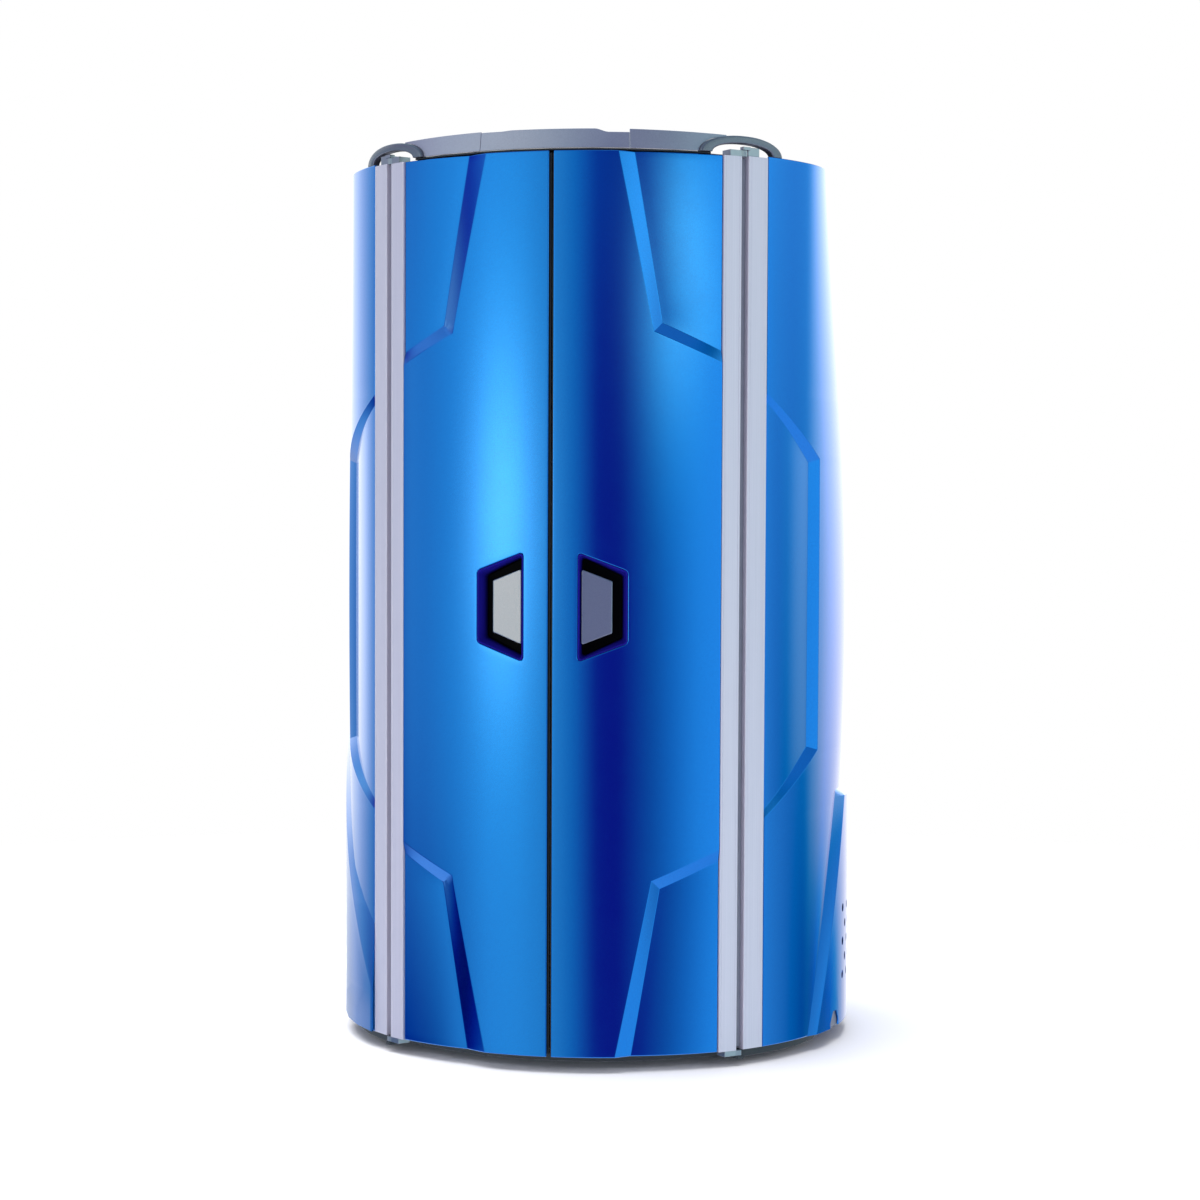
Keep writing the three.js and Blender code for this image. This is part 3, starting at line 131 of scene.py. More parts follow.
def material(name, constants, grain=0, detail=2, stretch=1, flakes=0, tones=(), rough=(), bump=()):
    """A finish with constants on its shader and noise of a grain in mm, stretched upright.

    The noise spreads the roughness between two values and raises a bump, given as its socket,
    strength and depth in mm. Flakes of a size in mm, or else the noise, mix the two tones.
    """
    made = bpy.data.materials.new(name)
    made.use_nodes = True
    tree = made.node_tree
    sockets = dict(constants)
    place = node(tree, "TexCoord").outputs["Object"]
    if stretch > 1:
        place = node(tree, "Mapping", {"Vector": place, "Scale": (1, 1, 1 / stretch)}).outputs["Vector"]
    if grain:
        noise = {"Vector": place, "Scale": per_metre(grain), "Detail": detail}
        value = node(tree, "TexNoise", noise).outputs["Fac"]
    if rough:
        spread = {"Value": value, "To Min": rough[0], "To Max": rough[1]}
        sockets["Roughness"] = node(tree, "MapRange", spread).outputs["Result"]
    if bump:
        raised = {"Height": value, "Strength": bump[1], "Distance": bump[2] * MM}
        sockets[bump[0]] = node(tree, "Bump", raised).outputs["Normal"]
    if flakes:
        value = node(tree, "TexVoronoi", {"Vector": place, "Scale": per_metre(flakes)}).outputs["Color"]
    if tones:
        sockets["Base Color"] = blend(tree, value, zip((0, 1), tones))
    plug(tree, tree.nodes["Principled BSDF"], sockets)
    return made


def between(first, last, steps):
    return [first + (last - first) * i / steps for i in range(steps + 1)]


def circle(sides):
    """Points (x, y) round a circle of radius 1."""
    turns = [math.radians(turn) for turn in between(0, 360, sides)[:-1]]
    return [(math.cos(turn), math.sin(turn)) for turn in turns]


def legs(first, *ends):
    """Values from first on through legs of (end, number of steps)."""
    values = [first]
    for last, steps in ends:
        values += between(first, last, steps)[1:]
        first = last
    return values


def skin(work, rows, closed=True):
    """Quads over rows of points; closed joins the end of each row to its start."""
    rows = [[work.verts.new(point) for point in row] for row in rows]
    turn = 1 if closed else 0
    for low, high in zip(rows, rows[1:]):
        ahead = zip(low[1:] + low[:turn], high[1:] + high[:turn])
        for (a, d), (b, c) in zip(zip(low, high), ahead):
            work.faces.new((a, b, c, d))
    return rows


def solid(work, rows):
    """Closed solid: quads over closed rows, and a face across the first and the last."""
    rows = skin(work, rows)
    work.faces.new(rows[0])
    work.faces.new(rows[-1])


def lathe(work, profile, sides, centre=Vector()):
    """Turned solid from a profile of (radius, height) in mm round an upright axis."""
    turns = between(0, 360, sides)[:-1]
    skin(work, [[centre + polar(radius, turn, height) for turn in turns] for radius, height in profile])


def piece(name, body, slot, finish, work, *replaced, edge=0, sharp=SHARP):
    """Makes the object: welded, faces outward, corners rounded by edge mm, on its body."""
    bmesh.ops.remove_doubles(work, verts=work.verts, dist=WELD * MM)
    bmesh.ops.recalc_face_normals(work, faces=work.faces)
    if edge:
        corners = [
            e for e in work.edges
            if len(e.link_faces) == 2 and e.calc_face_angle() > math.radians(SHARP)
        ]
        bmesh.ops.bevel(
            work, geom=corners, offset=edge * MM, offset_type="OFFSET", segments=4,
            profile=0.5, affect="EDGES", clamp_overlap=True,
        )
    mesh = bpy.data.meshes.new(name)
    work.to_mesh(mesh)
    work.free()
    mesh.shade_smooth()
    mesh.set_sharp_from_angle(angle=math.radians(sharp))
    mesh.materials.append(finish)
    made = bpy.data.objects.new(name, mesh)
    scene.collection.objects.link(made)
    made.modifiers.new("even_shading", "WEIGHTED_NORMAL").keep_sharp = True
    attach(made, body)
    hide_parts(*replaced)


def dress(finish, edge, *names):
    """Gives CAD nodes that stay their finish and small rounded edges."""
    for name in names:
        kept = cad_nodes[name]
        kept.material_slots[0].material = finish
        kept.modifiers.new("joined", "WELD").merge_threshold = WELD * MM
        rounding = kept.modifiers.new("rounded_edges", "BEVEL")
        rounding.width = edge * MM
        rounding.segments = 2
        rounding.limit_method = "ANGLE"
        rounding.angle_limit = math.radians(SHARP)
        kept.modifiers.new("even_shading", "WEIGHTED_NORMAL")


# Dark powder coat: matt, with the fine pebbled skin of baked powder. The pebbles are about
# 0.4 mm in life and drawn at 3 mm so that they show.
dark_steel = material(
    "dark_powder_coat", {"Base Color": "#2b2e35", "IOR": 1.5}, grain=3, detail=3,
    rough=(0.5, 0.68), bump=("Normal", 0.25, 0.4),
)
dress(dark_steel, 2, "base_pan")

# Tread rubber: dark and dull, scuffed paler where feet turn.
tread_rubber = material(
    "ribbed_rubber", {"IOR": 1.52}, grain=90, detail=6, tones=("#2c2f35", "#474b53"), rough=(0.62, 0.85),
)

work = bmesh.new()
underside = TREAD_TOP - TREAD_SHEET
inside = TREAD_RADIUS - TREAD_SHEET
profile = [(0, underside), (inside, underside), (inside, TREAD_BOTTOM), (TREAD_RADIUS, TREAD_BOTTOM)]
for turn in between(0, 90, 5):
    lean = math.radians(turn)
    reach = TREAD_RADIUS - TREAD_EDGE * (1 - math.cos(lean))
    profile.append((reach, TREAD_TOP - TREAD_EDGE * (1 - math.sin(lean))))
rib = TREAD_RADIUS - 2 * RIB_PITCH
groove = RIB_PITCH / 4
groove_floor = TREAD_TOP - RIB_DEPTH
while rib > RIB_PITCH:
    profile += [(rib, TREAD_TOP), (rib - RIB_DEPTH, groove_floor)]
    profile += [(rib - groove, groove_floor), (rib - groove - RIB_DEPTH, TREAD_TOP)]
    rib -= RIB_PITCH
profile.append((0, TREAD_TOP))
lathe(work, profile, sides=120)
piece("floor_tread", "cabin", "floor_grey", tread_rubber, work, "floor_platform")

for name, angle in (("front_right", 45), ("front_left", -45), ("rear_right", 135), ("rear_left", -135)):
    work = bmesh.new()
    centre = polar(FOOT_CIRCLE, angle, 0)
    lathe(work, FOOT_PROFILE, sides=40, centre=centre)
    lathe(work, NUT_PROFILE, sides=6, centre=centre)
    piece(f"levelling_foot_{name}", "cabin", "foot_rubber", tread_rubber, work, f"foot_{name}")

# Uprights: the front hinge posts are square aluminium extrusions, coated silver, with a grey
# rubber lip along the hinge groove. The service columns beside the rear lamps are folded
# steel, powder coated white. All four stand on the pan.
SIDES = (("right", 1), ("left", -1))
BODY_RADIUS = 664
POST_INNER = 614
POST_START = 43.45
POST_END = 48.8
POST_BOTTOM = 40.4
POST_TOP = 2242.6
POST_ROUND = 2.5
LINE_INSET = 0.1
LINE_HALF = 0.9
LINE_DEPTH = 0.7
LIP_END = 42.1
LIP_FACE = 651
LIP_BACK = 639
LIP_DRAFT = 3
LIP_SHORT = 6
LIP_ROUND = 1.5
ROUND_STEPS = 3


def rounded(corners, radius, steps=ROUND_STEPS):
    """Flat outline with its corners rounded, from (x, y) corners in mm."""
    outline = []
    for before, corner, after in zip(corners[-1:] + corners[:-1], corners, corners[1:] + corners[:1]):
        middle = Vector(corner)
        back = (Vector(before) - middle).normalized()
        ahead = (Vector(after) - middle).normalized()
        reach = radius / math.tan(back.angle(ahead) / 2)
        for share in between(0, 1, steps):
            near = middle + back * reach * (1 - share)
            far = middle + ahead * reach * share
            outline.append(tuple(near.lerp(far, share)))
    return outline


def lined(outline):
    """Cuts two fine lines into the first straight side of a rounded outline."""
    first = Vector(outline[ROUND_STEPS])
    last = Vector(outline[ROUND_STEPS + 1])
    half = (last - first).normalized() * LINE_HALF
    inward = -(first + last).normalized() * LINE_DEPTH
    cuts = []
    for share in (LINE_INSET, 1 - LINE_INSET):
        middle = first.lerp(last, share)
        cuts += [tuple(middle - half), tuple(middle + inward), tuple(middle + half)]
    return outline[:ROUND_STEPS + 1] + cuts + outline[ROUND_STEPS + 1:]


def prism(work, outline, bottom, top, side=1):
    """Upright closed prism of an (x, y) outline in mm; side -1 mirrors it."""
    solid(work, [[Vector((side * x, y, z)) * MM for x, y in outline] for z in (bottom, top)])


def plan(*spots):
    """Points (x, y) in mm of spots given by radius and angle."""
    return [tuple(polar(radius, angle, 0).xy / MM) for radius, angle in spots]


# Silver coat: satin paint over drawn aluminium, so the brushing shows as long upright streaks.
# The streaks are about 0.3 mm wide in life and drawn at 2 mm.
aluminium = material(
    "satin_silver_coat", {"Metallic": 0.3, "IOR": 1.5}, grain=2, detail=4, stretch=250,
    tones=("#bebbcc", "#d3cfdf"), rough=(0.34, 0.46), bump=("Normal", 0.1, 0.3),
)

# Seal rubber: mid grey and dull, with a faint bloom.
seal_rubber = material(
    "grey_seal_rubber", {"Roughness": 0.7, "IOR": 1.52}, grain=40, detail=4, tones=("#6f7585", "#838999"),
)

for name, side in SIDES:
    work = bmesh.new()
    corners = plan((BODY_RADIUS, POST_START), (BODY_RADIUS, POST_END))
    corners += plan((POST_INNER, POST_END), (POST_INNER, POST_START))
    prism(work, lined(rounded(corners, POST_ROUND)), POST_BOTTOM, POST_TOP, side)
    piece(f"post_{name}", "cabin", "aluminium_profile", aluminium, work, f"hinge_post_{name}", edge=0.5)
    work = bmesh.new()
    corners = plan((LIP_FACE, POST_START), (LIP_FACE - LIP_DRAFT, LIP_END))
    corners += plan((LIP_BACK + LIP_DRAFT, LIP_END), (LIP_BACK, POST_START))
    prism(work, rounded(corners, LIP_ROUND), POST_BOTTOM + LIP_SHORT, POST_TOP - LIP_SHORT, side)
    piece(f"groove_lip_{name}", "cabin", "foot_rubber", seal_rubber, work)

# White powder coat: bright, lightly pebbled like the dark one.
white_steel = material(
    "white_powder_coat", {"Base Color": "#e6e8ec", "IOR": 1.5}, grain=3, detail=3,
    rough=(0.34, 0.5), bump=("Normal", 0.2, 0.4),
)
dress(white_steel, 1.5, "service_column_right", "service_column_left")

# Side panels: blue mouldings that clip to the posts and the rear cover. A shallow recess
# behind each post slants to it at both ends, and the back draws in like a barrel.
SKIN = 6
RELIEF = 18
DOOR_BOTTOM = 40
DOOR_TOP = 2240
MIDDLE = 1140
HALF_HEIGHT = 1100
LID_TOP = 2247
PANEL_START = 48.84
SIDE_END = 150
FLOOR_EDGES = {"right": 65.3, "left": 70.6}
FLOOR_CORNER_REACH = 360
FLOOR_POST_REACH = 508
FLOOR_POST_SHARE = 0.35
RIM_EDGES = {"right": 68, "left": 74.5}
RIM_CORNER_REACH = 370
RIM_POST_REACH = 528
BARREL_DEPTH = 75
BARREL_START = 62
BARREL_FULL = 100
FILLET = 0.06
PANEL_EDGE = 2.5
CREASE = 24
SLANT_STEPS = 12
END_ROWS = 16
UPRIGHT_ROWS = 26
PANEL_COLUMNS = 72


def clamp(share):
    return min(1, max(0, share))


def ease(share):
    """Smooth step from 0 to 1."""
    share = clamp(share)
    return share * share * (3 - 2 * share)


def lerp(first, last, share):
    return first + (last - first) * share


def mix(first, last, share):
    """Point at a share of the way between two points."""
    return tuple(lerp(a, b, share) for a, b in zip(first, last))


def ramp(share):
    """Straight bevel from 0 to 1 with a small fillet at each end."""
    slope = 1 / (1 - FILLET)
    if share < FILLET:
        return slope * share * share / (2 * FILLET)
    if share > 1 - FILLET:
        return 1 - slope * (1 - share) ** 2 / (2 * FILLET)
    return slope * (share - FILLET / 2)


fillet_shares = between(0, FILLET, 3)
bevel_shares = fillet_shares + [0.25, 0.5, 0.75] + [1 - share for share in reversed(fillet_shares)]


def body_radius(angle, height):
    """Outside of the body behind the posts: upright beside them, barrel-shaped at the back."""
    reach = (height - MIDDLE) / HALF_HEIGHT
    back = ease((abs(angle) - BARREL_START) / (BARREL_FULL - BARREL_START))
    return BODY_RADIUS - BARREL_DEPTH * back * reach * reach


def on_body(angle, height, drop=0):
    """Point of a sheet on the body, or this far in from it."""
    return angle, height, body_radius(angle, height) - drop


def fill(left, right, low, high):
    """Grid of points that fills the four edges of a patch, each a list of points."""
    grid = []
    for i, (start, end) in enumerate(zip(left, right)):
        up = i / (len(left) - 1)
        row = []
        for j, (under, over) in enumerate(zip(low, high)):
            on = j / (len(low) - 1)
            across = mix(start, end, on)
            upward = mix(under, over, up)
            corners = mix(mix(low[0], low[-1], on), mix(high[0], high[-1], on), up)
            row.append(tuple(a + b - c for a, b, c in zip(across, upward, corners)))
        grid.append(row)
    return grid


def sheet(patches, thickness, side=1):
    """Closed curved sheet from grids of (angle, height, radius), this thick inwards."""
    work = bmesh.new()
    for grid in patches:
        skin(work, [[polar(r, side * a, z) for a, z, r in row] for row in grid], closed=False)
    bmesh.ops.remove_doubles(work, verts=work.verts, dist=WELD * MM)
    rim = [edge.verts[:] for edge in work.edges if edge.is_boundary]
    front = work.faces[:]
    back = {}
    for corner in work.verts[:]:
        inward = Vector((corner.co.x, corner.co.y, 0)).normalized()
        back[corner] = work.verts.new(corner.co - inward * thickness * MM)
    for face in front:
        work.faces.new([back[corner] for corner in reversed(face.verts)])
    for first, second in rim:
        work.faces.new((first, second, back[second], back[first]))
    return work


def around(grid, low, high, left, right):
    """The four patches of a grid round a rectangle of its rows and columns."""
    return [
        [row[:left + 1] for row in grid],
        [row[left:right + 1] for row in grid[:low + 1]],
        [row[left:right + 1] for row in grid[high:]],
        [row[right:] for row in grid],
    ]


# Metallic blue lacquer: flakes under a clear coat, so it turns from sky blue in the light to
# deep navy away from it, with white reflections at the sides. Flakes are drawn at 1.5 mm, and
# the slight unevenness of the sprayed coat at 60 mm.
blue = material(
    "metallic_blue_lacquer",
    {"Metallic": 1.0, "Coat Weight": 0.45, "Coat Roughness": 0.08, "Coat IOR": 1.5},
    grain=60, flakes=1.5, tones=("#0069c0", "#0073ca"), rough=(0.13, 0.17), bump=("Coat Normal", 0.04, 1),
)

reaches = legs(
    -HALF_HEIGHT, (-RIM_POST_REACH, END_ROWS), (-RIM_CORNER_REACH, SLANT_STEPS),
    (RIM_CORNER_REACH, UPRIGHT_ROWS), (RIM_POST_REACH, SLANT_STEPS), (HALF_HEIGHT, END_ROWS),
    (LID_TOP - MIDDLE, 1),
)


def recess_edges(reach, name):
    """The rim and the floor edge of a panel's recess beside a reach, as (angle, height)."""
    past = clamp((abs(reach) - RIM_CORNER_REACH) / (RIM_POST_REACH - RIM_CORNER_REACH))
    floor_reach = min(1, abs(reach) / RIM_CORNER_REACH) * FLOOR_CORNER_REACH
    floor_reach += (FLOOR_POST_REACH - FLOOR_CORNER_REACH) * past
    rim = (lerp(RIM_EDGES[name], PANEL_START, past), MIDDLE + reach)
    return rim, (lerp(FLOOR_EDGES[name], PANEL_START, past), MIDDLE + math.copysign(floor_reach, reach))


def recess_depth(angle, name):
    """Depth of the recess: full along its upright edge, easing to a part of that at the post."""
    share = ease((angle - PANEL_START) / (FLOOR_EDGES[name] - PANEL_START))
    return RELIEF * lerp(FLOOR_POST_SHARE, 1, share)


for name, side in SIDES:
    edges = [recess_edges(reach, name) for reach in reaches]
    outer_field = [
        [on_body(angle, rim[1]) for angle in between(rim[0], SIDE_END, PANEL_COLUMNS)]
        for rim, floor in edges
    ]
    beside = [pair for pair, reach in zip(edges, reaches) if abs(reach) <= RIM_POST_REACH]
    bevel = []
    for rim, floor in beside:
        depth = recess_depth(floor[0], name)
        bevel.append([on_body(*mix(rim, floor, s), depth * ramp(s)) for s in bevel_shares])
    floor_line = [floor for rim, floor in beside]
    low_slant = floor_line[:SLANT_STEPS + 1]
    high_slant = floor_line[:-SLANT_STEPS - 2:-1]
    upright = floor_line[SLANT_STEPS:-SLANT_STEPS]
    post_line = [(PANEL_START, z) for z in between(low_slant[0][1], high_slant[0][1], len(upright) - 1)]
    floor_field = [
        [on_body(*spot, recess_depth(spot[0], name)) for spot in row]
        for row in fill(post_line, upright, low_slant, high_slant)
    ]
    work = sheet([outer_field, bevel, floor_field], SKIN, side)
    cad_name = f"side_panel_{name}"
    piece(f"panel_{name}", "cabin", "blue_skin", blue, work, cad_name, edge=PANEL_EDGE, sharp=CREASE)

# Rear skirts: blue mouldings screwed over the foot of the side panels, with a bevelled front
# and top edge, round air vents and a cut-out at the floor for a hand when lifting.
SKIRT_RADIUS = 672
SKIRT_WALL = 5
SKIRT_SINK = 0.4
SKIRT_BEVEL = 20
SKIRT_END = 147
SKIRT_END_BEVEL = 5
SKIRT_TOPS = {"right": 655, "left": 790}
SKIRT_FEET = {"right": [(40, 64.2), (655, 80.7)], "left": [(240, 40), (450, 61.5), (790, 77)]}
SKIRT_FACES = {"right": [(40, 67.4), (635, 85.2)], "left": [(60, 44), (450, 66), (770, 83)]}
SKIRT_LEAST = 0.8
PLAIN_COLUMNS = 9
REAR_COLUMNS = 34
LOW_ROWS = 9
HIGH_ROWS = 14
VENT_RADIUS = 11
VENT_BLOCK_ANGLE = 3
VENT_BLOCK_HEIGHT = 44
VENT_ANGLE = 84
VENT_HEIGHT = 165
VENT_ROWS = 5
VENT_COLUMNS = 4
VENT_CELLS = 4
NOTCH_ANGLE = 77.5
NOTCH_HALF = 35
NOTCH_TOP_HALF = 14
NOTCH_SIDE = 14
NOTCH_HEIGHT = 42
NOTCH_DRAFT = 0.6
# Size of a thin grey sheet of painted shade behind each hand notch.
NOTCH_SHADE_HALF = 4.5
NOTCH_SHADE_RADIUS = 666
NOTCH_SHADE_WALL = 3
NOTCH_SHADE_TOP = 95

vents_from = VENT_ANGLE - VENT_BLOCK_ANGLE / 2
vents_to = vents_from + VENT_COLUMNS * VENT_BLOCK_ANGLE
vents_low = VENT_HEIGHT - VENT_BLOCK_HEIGHT / 2
vents_high = vents_low + VENT_ROWS * VENT_BLOCK_HEIGHT
bevel_from = SKIRT_END - SKIRT_END_BEVEL
halves = (NOTCH_HALF, NOTCH_HALF - NOTCH_DRAFT, NOTCH_TOP_HALF)
halves = [math.degrees(half / SKIRT_RADIUS) for half in halves]
notch = [NOTCH_ANGLE - half for half in halves] + [NOTCH_ANGLE + half for half in reversed(halves)]
notch_lifts = (0, NOTCH_SIDE, NOTCH_HEIGHT, NOTCH_HEIGHT, NOTCH_SIDE, 0)
lift_at = dict(enumerate(notch_lifts, len(bevel_shares) + 2))
vent_rows = VENT_ROWS * VENT_CELLS
vent_columns = VENT_COLUMNS * VENT_CELLS
behind = legs(vents_from, (vents_to, vent_columns), (bevel_from, REAR_COLUMNS))
first = len(bevel_shares) + PLAIN_COLUMNS
last = first + vent_columns


def along(points, x):
    """Value at x on a line through points, which runs on straight past its ends."""
    for (x0, y0), (x1, y1) in zip(points, points[1:]):
        if x <= x1 or (x1, y1) == points[-1]:
            return y0 + (y1 - y0) * (x - x0) / (x1 - x0)


for name, side in SIDES:
    top = SKIRT_TOPS[name]
    foot = SKIRT_FEET[name]
    face = SKIRT_FACES[name]
    face_top = top - SKIRT_BEVEL

    def skirt_spot(angle, height):
        """Point on the skirt: proud of the panel on its face, down to it at the bevels."""
        panel = body_radius(angle, height) - SKIRT_SINK
        front = (angle - along(foot, height)) / (along(face, height) - along(foot, height))
        share = min(front, (top - height) / SKIRT_BEVEL, (SKIRT_END - angle) / SKIRT_END_BEVEL)
        return angle, height, lerp(panel, SKIRT_RADIUS, ramp(clamp(share)))

    heights = legs(DOOR_BOTTOM, (vents_low, LOW_ROWS), (vents_high, vent_rows), (face_top, HIGH_ROWS))
    heights += [face_top + SKIRT_BEVEL * s for s in bevel_shares[1:]]
    grid = []
    for height in heights:
        low = max(PANEL_START, along(foot, height))
        high = max(low + SKIRT_LEAST, along(face, height))
        late = max(0, high - along(face, vents_high))
        moved = [a + late * (bevel_from - a) / (bevel_from - vents_from) for a in behind]
        even = between(high, moved[0], PLAIN_COLUMNS + 1)[1:-1]
        beside = between(high, notch[0], 3)[1:-1] + notch + [(notch[-1] + vents_from) / 2]
        above = (height - DOOR_BOTTOM - NOTCH_HEIGHT) / (vents_low - DOOR_BOTTOM - NOTCH_HEIGHT)
        angles = [lerp(low, high, s) for s in bevel_shares]
        angles += [*mix(beside, even, clamp(above)), *moved, *between(bevel_from, SKIRT_END, 4)[1:]]
        near_floor = max(0, vents_low - height) / (vents_low - DOOR_BOTTOM)
        lifts = [lift_at.get(i, 0) * near_floor for i in range(len(angles))]
        grid.append([skirt_spot(angle, height + lift) for angle, lift in zip(angles, lifts)])
    patches = around(grid, LOW_ROWS, LOW_ROWS + vent_rows, first, last)
    for down in range(VENT_ROWS):
        for across in range(VENT_COLUMNS):
            i = LOW_ROWS + VENT_CELLS * down
            j = first + VENT_CELLS * across
            block = [row[j:j + VENT_CELLS + 1] for row in grid[i:i + VENT_CELLS + 1]]
            if across % 2 != down % 2:
                patches.append(block)
                continue
            border = block[0] + [row[-1] for row in block[1:]]
            border += block[-1][-2::-1] + [row[0] for row in block[-2::-1]]
            centre = block[VENT_CELLS // 2][VENT_CELLS // 2][:2]
            rings = []
            for share in (1, 0.5, 0):
                ring = []
                for angle, height, radius in border:
                    x = math.radians(angle - centre[0]) * SKIRT_RADIUS
                    hole = mix(centre, (angle, height), VENT_RADIUS / math.hypot(x, height - centre[1]))
                    ring.append(skirt_spot(*mix(hole, (angle, height), share)))
                rings.append(ring)
            patches.append(rings)
    work = sheet(patches, SKIRT_WALL, side)
    piece(f"skirt_{name}", "cabin", "blue_skin", blue, work, f"rear_skirt_{name}", edge=1)
    # Painted shade: a thin grey rubber sheet behind each hand notch stands in for the shade inside the
    # notch, where the panel would otherwise show the white room.
    angles = between(NOTCH_ANGLE - NOTCH_SHADE_HALF, NOTCH_ANGLE + NOTCH_SHADE_HALF, 8)
    heights = between(DOOR_BOTTOM, NOTCH_SHADE_TOP, 4)
    shade_sheet = [[(angle, height, NOTCH_SHADE_RADIUS) for angle in angles] for height in heights]
    piece(f"notch_shade_sheet_{name}", "cabin", "foot_rubber", seal_rubber, sheet([shade_sheet], NOTCH_SHADE_WALL, side))

# Rear cover: a blue service cover between the side panels, with two sets of air slots and,
# low down, a black nylon gland for the mains lead.
COVER_START = 150.04
COVER_COLUMNS = 16
COVER_ROW = 50
SLOT_COLUMNS = 6
SLOT_HALF_ANGLE = 9
SLOT_HEIGHT = 10
SLOT_PITCH = 34
SLOT_COUNT = 4
LOWER_SLOTS = 340
UPPER_SLOTS = 1780
GLAND_HEIGHT = 170
GLAND_TOP = 188
GLAND_NUT_PROFILE = ((10, 0), (17, 0), (18, -1), (18, -16), (17, -17), (10, -17), (10, 0))
GLAND_BODY_PROFILE = ((10, 20), (14.5, 20), (14.5, -28), (11.5, -34), (10, -34), (10, 20))
GLAND_OPENING = 10.5
GLAND_CLEAR = 0.4


def placed(x, depth, height, angle, radius):
    """Point beside a spot on the wall: x mm along it, depth mm in towards the axis."""
    turn = math.radians(angle)
    out = Vector((math.sin(turn), -math.cos(turn), 0))
    aside = Vector((math.cos(turn), math.sin(turn), 0))
    return (out * (radius - depth) + aside * x + Vector((0, 0, height))) * MM


def turned_in(work, profile, angle, radius, height, sides=40):
    """Turned solid from (radius, depth) in mm round an axis that points in at the cabin's."""
    rows = []
    for reach, depth in profile:
        ring = [(reach * x, height + reach * y) for x, y in circle(sides)]
        rows.append([placed(x, depth, z, angle, radius) for x, z in ring])
    skin(work, rows)


gland_bottom = GLAND_HEIGHT - GLAND_OPENING
slot_bottoms = [start + i * SLOT_PITCH for start in (LOWER_SLOTS, UPPER_SLOTS) for i in range(SLOT_COUNT)]
stops = sorted(slot_bottoms + [bottom + SLOT_HEIGHT for bottom in slot_bottoms])
heights = [DOOR_BOTTOM]
for high in [gland_bottom, GLAND_HEIGHT + GLAND_OPENING, *stops, LID_TOP]:
    low = heights[-1]
    heights += between(low, high, max(1, round((high - low) / COVER_ROW)))[1:]
gland_half = math.degrees(GLAND_OPENING / BODY_RADIUS)
turns = legs(COVER_START, (180 - SLOT_HALF_ANGLE, COVER_COLUMNS), (180 - gland_half, SLOT_COLUMNS))
turns += [360 - turn for turn in reversed(turns)]
patches = []
for low, high in zip(heights, heights[1:]):
    rows = [[on_body(turn, height) for turn in turns] for height in (low, high)]
    if low in slot_bottoms:
        columns = COVER_COLUMNS + 1
    elif low == gland_bottom:
        columns = COVER_COLUMNS + SLOT_COLUMNS + 1
    else:
        patches.append(rows)
        continue
    patches += [[row[:columns] for row in rows], [row[-columns:] for row in rows]]
piece("rear_service_cover", "cabin", "blue_skin", blue, sheet(patches, SKIN), "rear_cover", edge=1.5)

# Black nylon: moulded, with a fine spark-eroded grain that softens its gloss.
black_plastic = material(
    "moulded_black_nylon", {"Base Color": "#191a1d", "IOR": 1.53}, grain=1.2,
    rough=(0.38, 0.55), bump=("Normal", 0.2, 0.2),
)

work = bmesh.new()
seat = body_radius(180, GLAND_TOP) + GLAND_CLEAR
turned_in(work, GLAND_NUT_PROFILE, 180, seat, GLAND_HEIGHT, sides=6)
turned_in(work, GLAND_BODY_PROFILE, 180, seat, GLAND_HEIGHT)
piece("mains_gland", "cabin", "black_plastic", black_plastic, work, "power_gland")

# Roof: a flat steel lid on the posts and panels. On its front edge stands a grey lacquered
# fascia in three lengths, and an arched rim over each hinge.
FASCIA_BASE = 2247.4
FASCIA_TOP = 2294
FASCIA_RADIUS = 652
FASCIA_WALL = 5
FASCIA_LEAN = 7
FASCIA_SEAM = 16.5
FASCIA_DIPS = {"right": 8, "left": 2}
SHOULDER_FALL = 2.8
FASCIA_CROWN = 9
FASCIA_CROWN_END = 12
ARCH_CENTRE = 42.6
ARCH_HALF = 10.8
ARCH_HOLE_HALF = 7.9
ARCH_HEIGHT = 43
ARCH_HOLE_HEIGHT = 24
ARCH_DEPTH = 20
ARCH_PROUD = 10
ARCH_SQUARENESS = 2.2
ARCH_CLEAR = 0.4
ARCH_UNDER = 69
ARCH_SECTION = (
    (0, 4), (0.08, 1.5), (0.2, 0), (0.8, 0), (0.92, 1.5), (1, 4), (1, ARCH_DEPTH), (0, ARCH_DEPTH),
)
SEAM_GAP = 0.02
dress(dark_steel, 1, "roof_lid")

# Grey lacquer: satin silver-grey paint with a fine metallic fleck.
roof_grey = material(
    "silver_grey_lacquer", {"Metallic": 0.7, "Coat Weight": 0.1, "Coat Roughness": 0.25, "Coat IOR": 1.5},
    grain=50, flakes=1.5, tones=("#9e9aab", "#aaa6b7"), rough=(0.36, 0.44),
)


def fascia(name, angles, low, high):
    """A length of fascia between two heights that follow the angle."""
    lean = FASCIA_LEAN / (FASCIA_TOP - FASCIA_BASE)
    rows = []
    for share in between(0, 1, 4):
        spots = [(angle, lerp(low(angle), high(angle), share)) for angle in angles]
        rows.append([(angle, z, FASCIA_RADIUS - lean * (z - FASCIA_BASE)) for angle, z in spots])
    work = sheet([rows], FASCIA_WALL)
    piece(f"fascia_{name}", "cabin", "roof_grey", roof_grey, work, f"roof_fascia_{name}", edge=1.2)


def crown(angle):
    share = ease((abs(angle) - FASCIA_CROWN) / (FASCIA_CROWN_END - FASCIA_CROWN))
    return FASCIA_TOP - FASCIA_DIPS["left" if angle < 0 else "right"] * share


def shoulder(angle):
    return FASCIA_TOP - SHOULDER_FALL * (abs(angle) - FASCIA_SEAM) / (ARCH_CENTRE - FASCIA_SEAM)


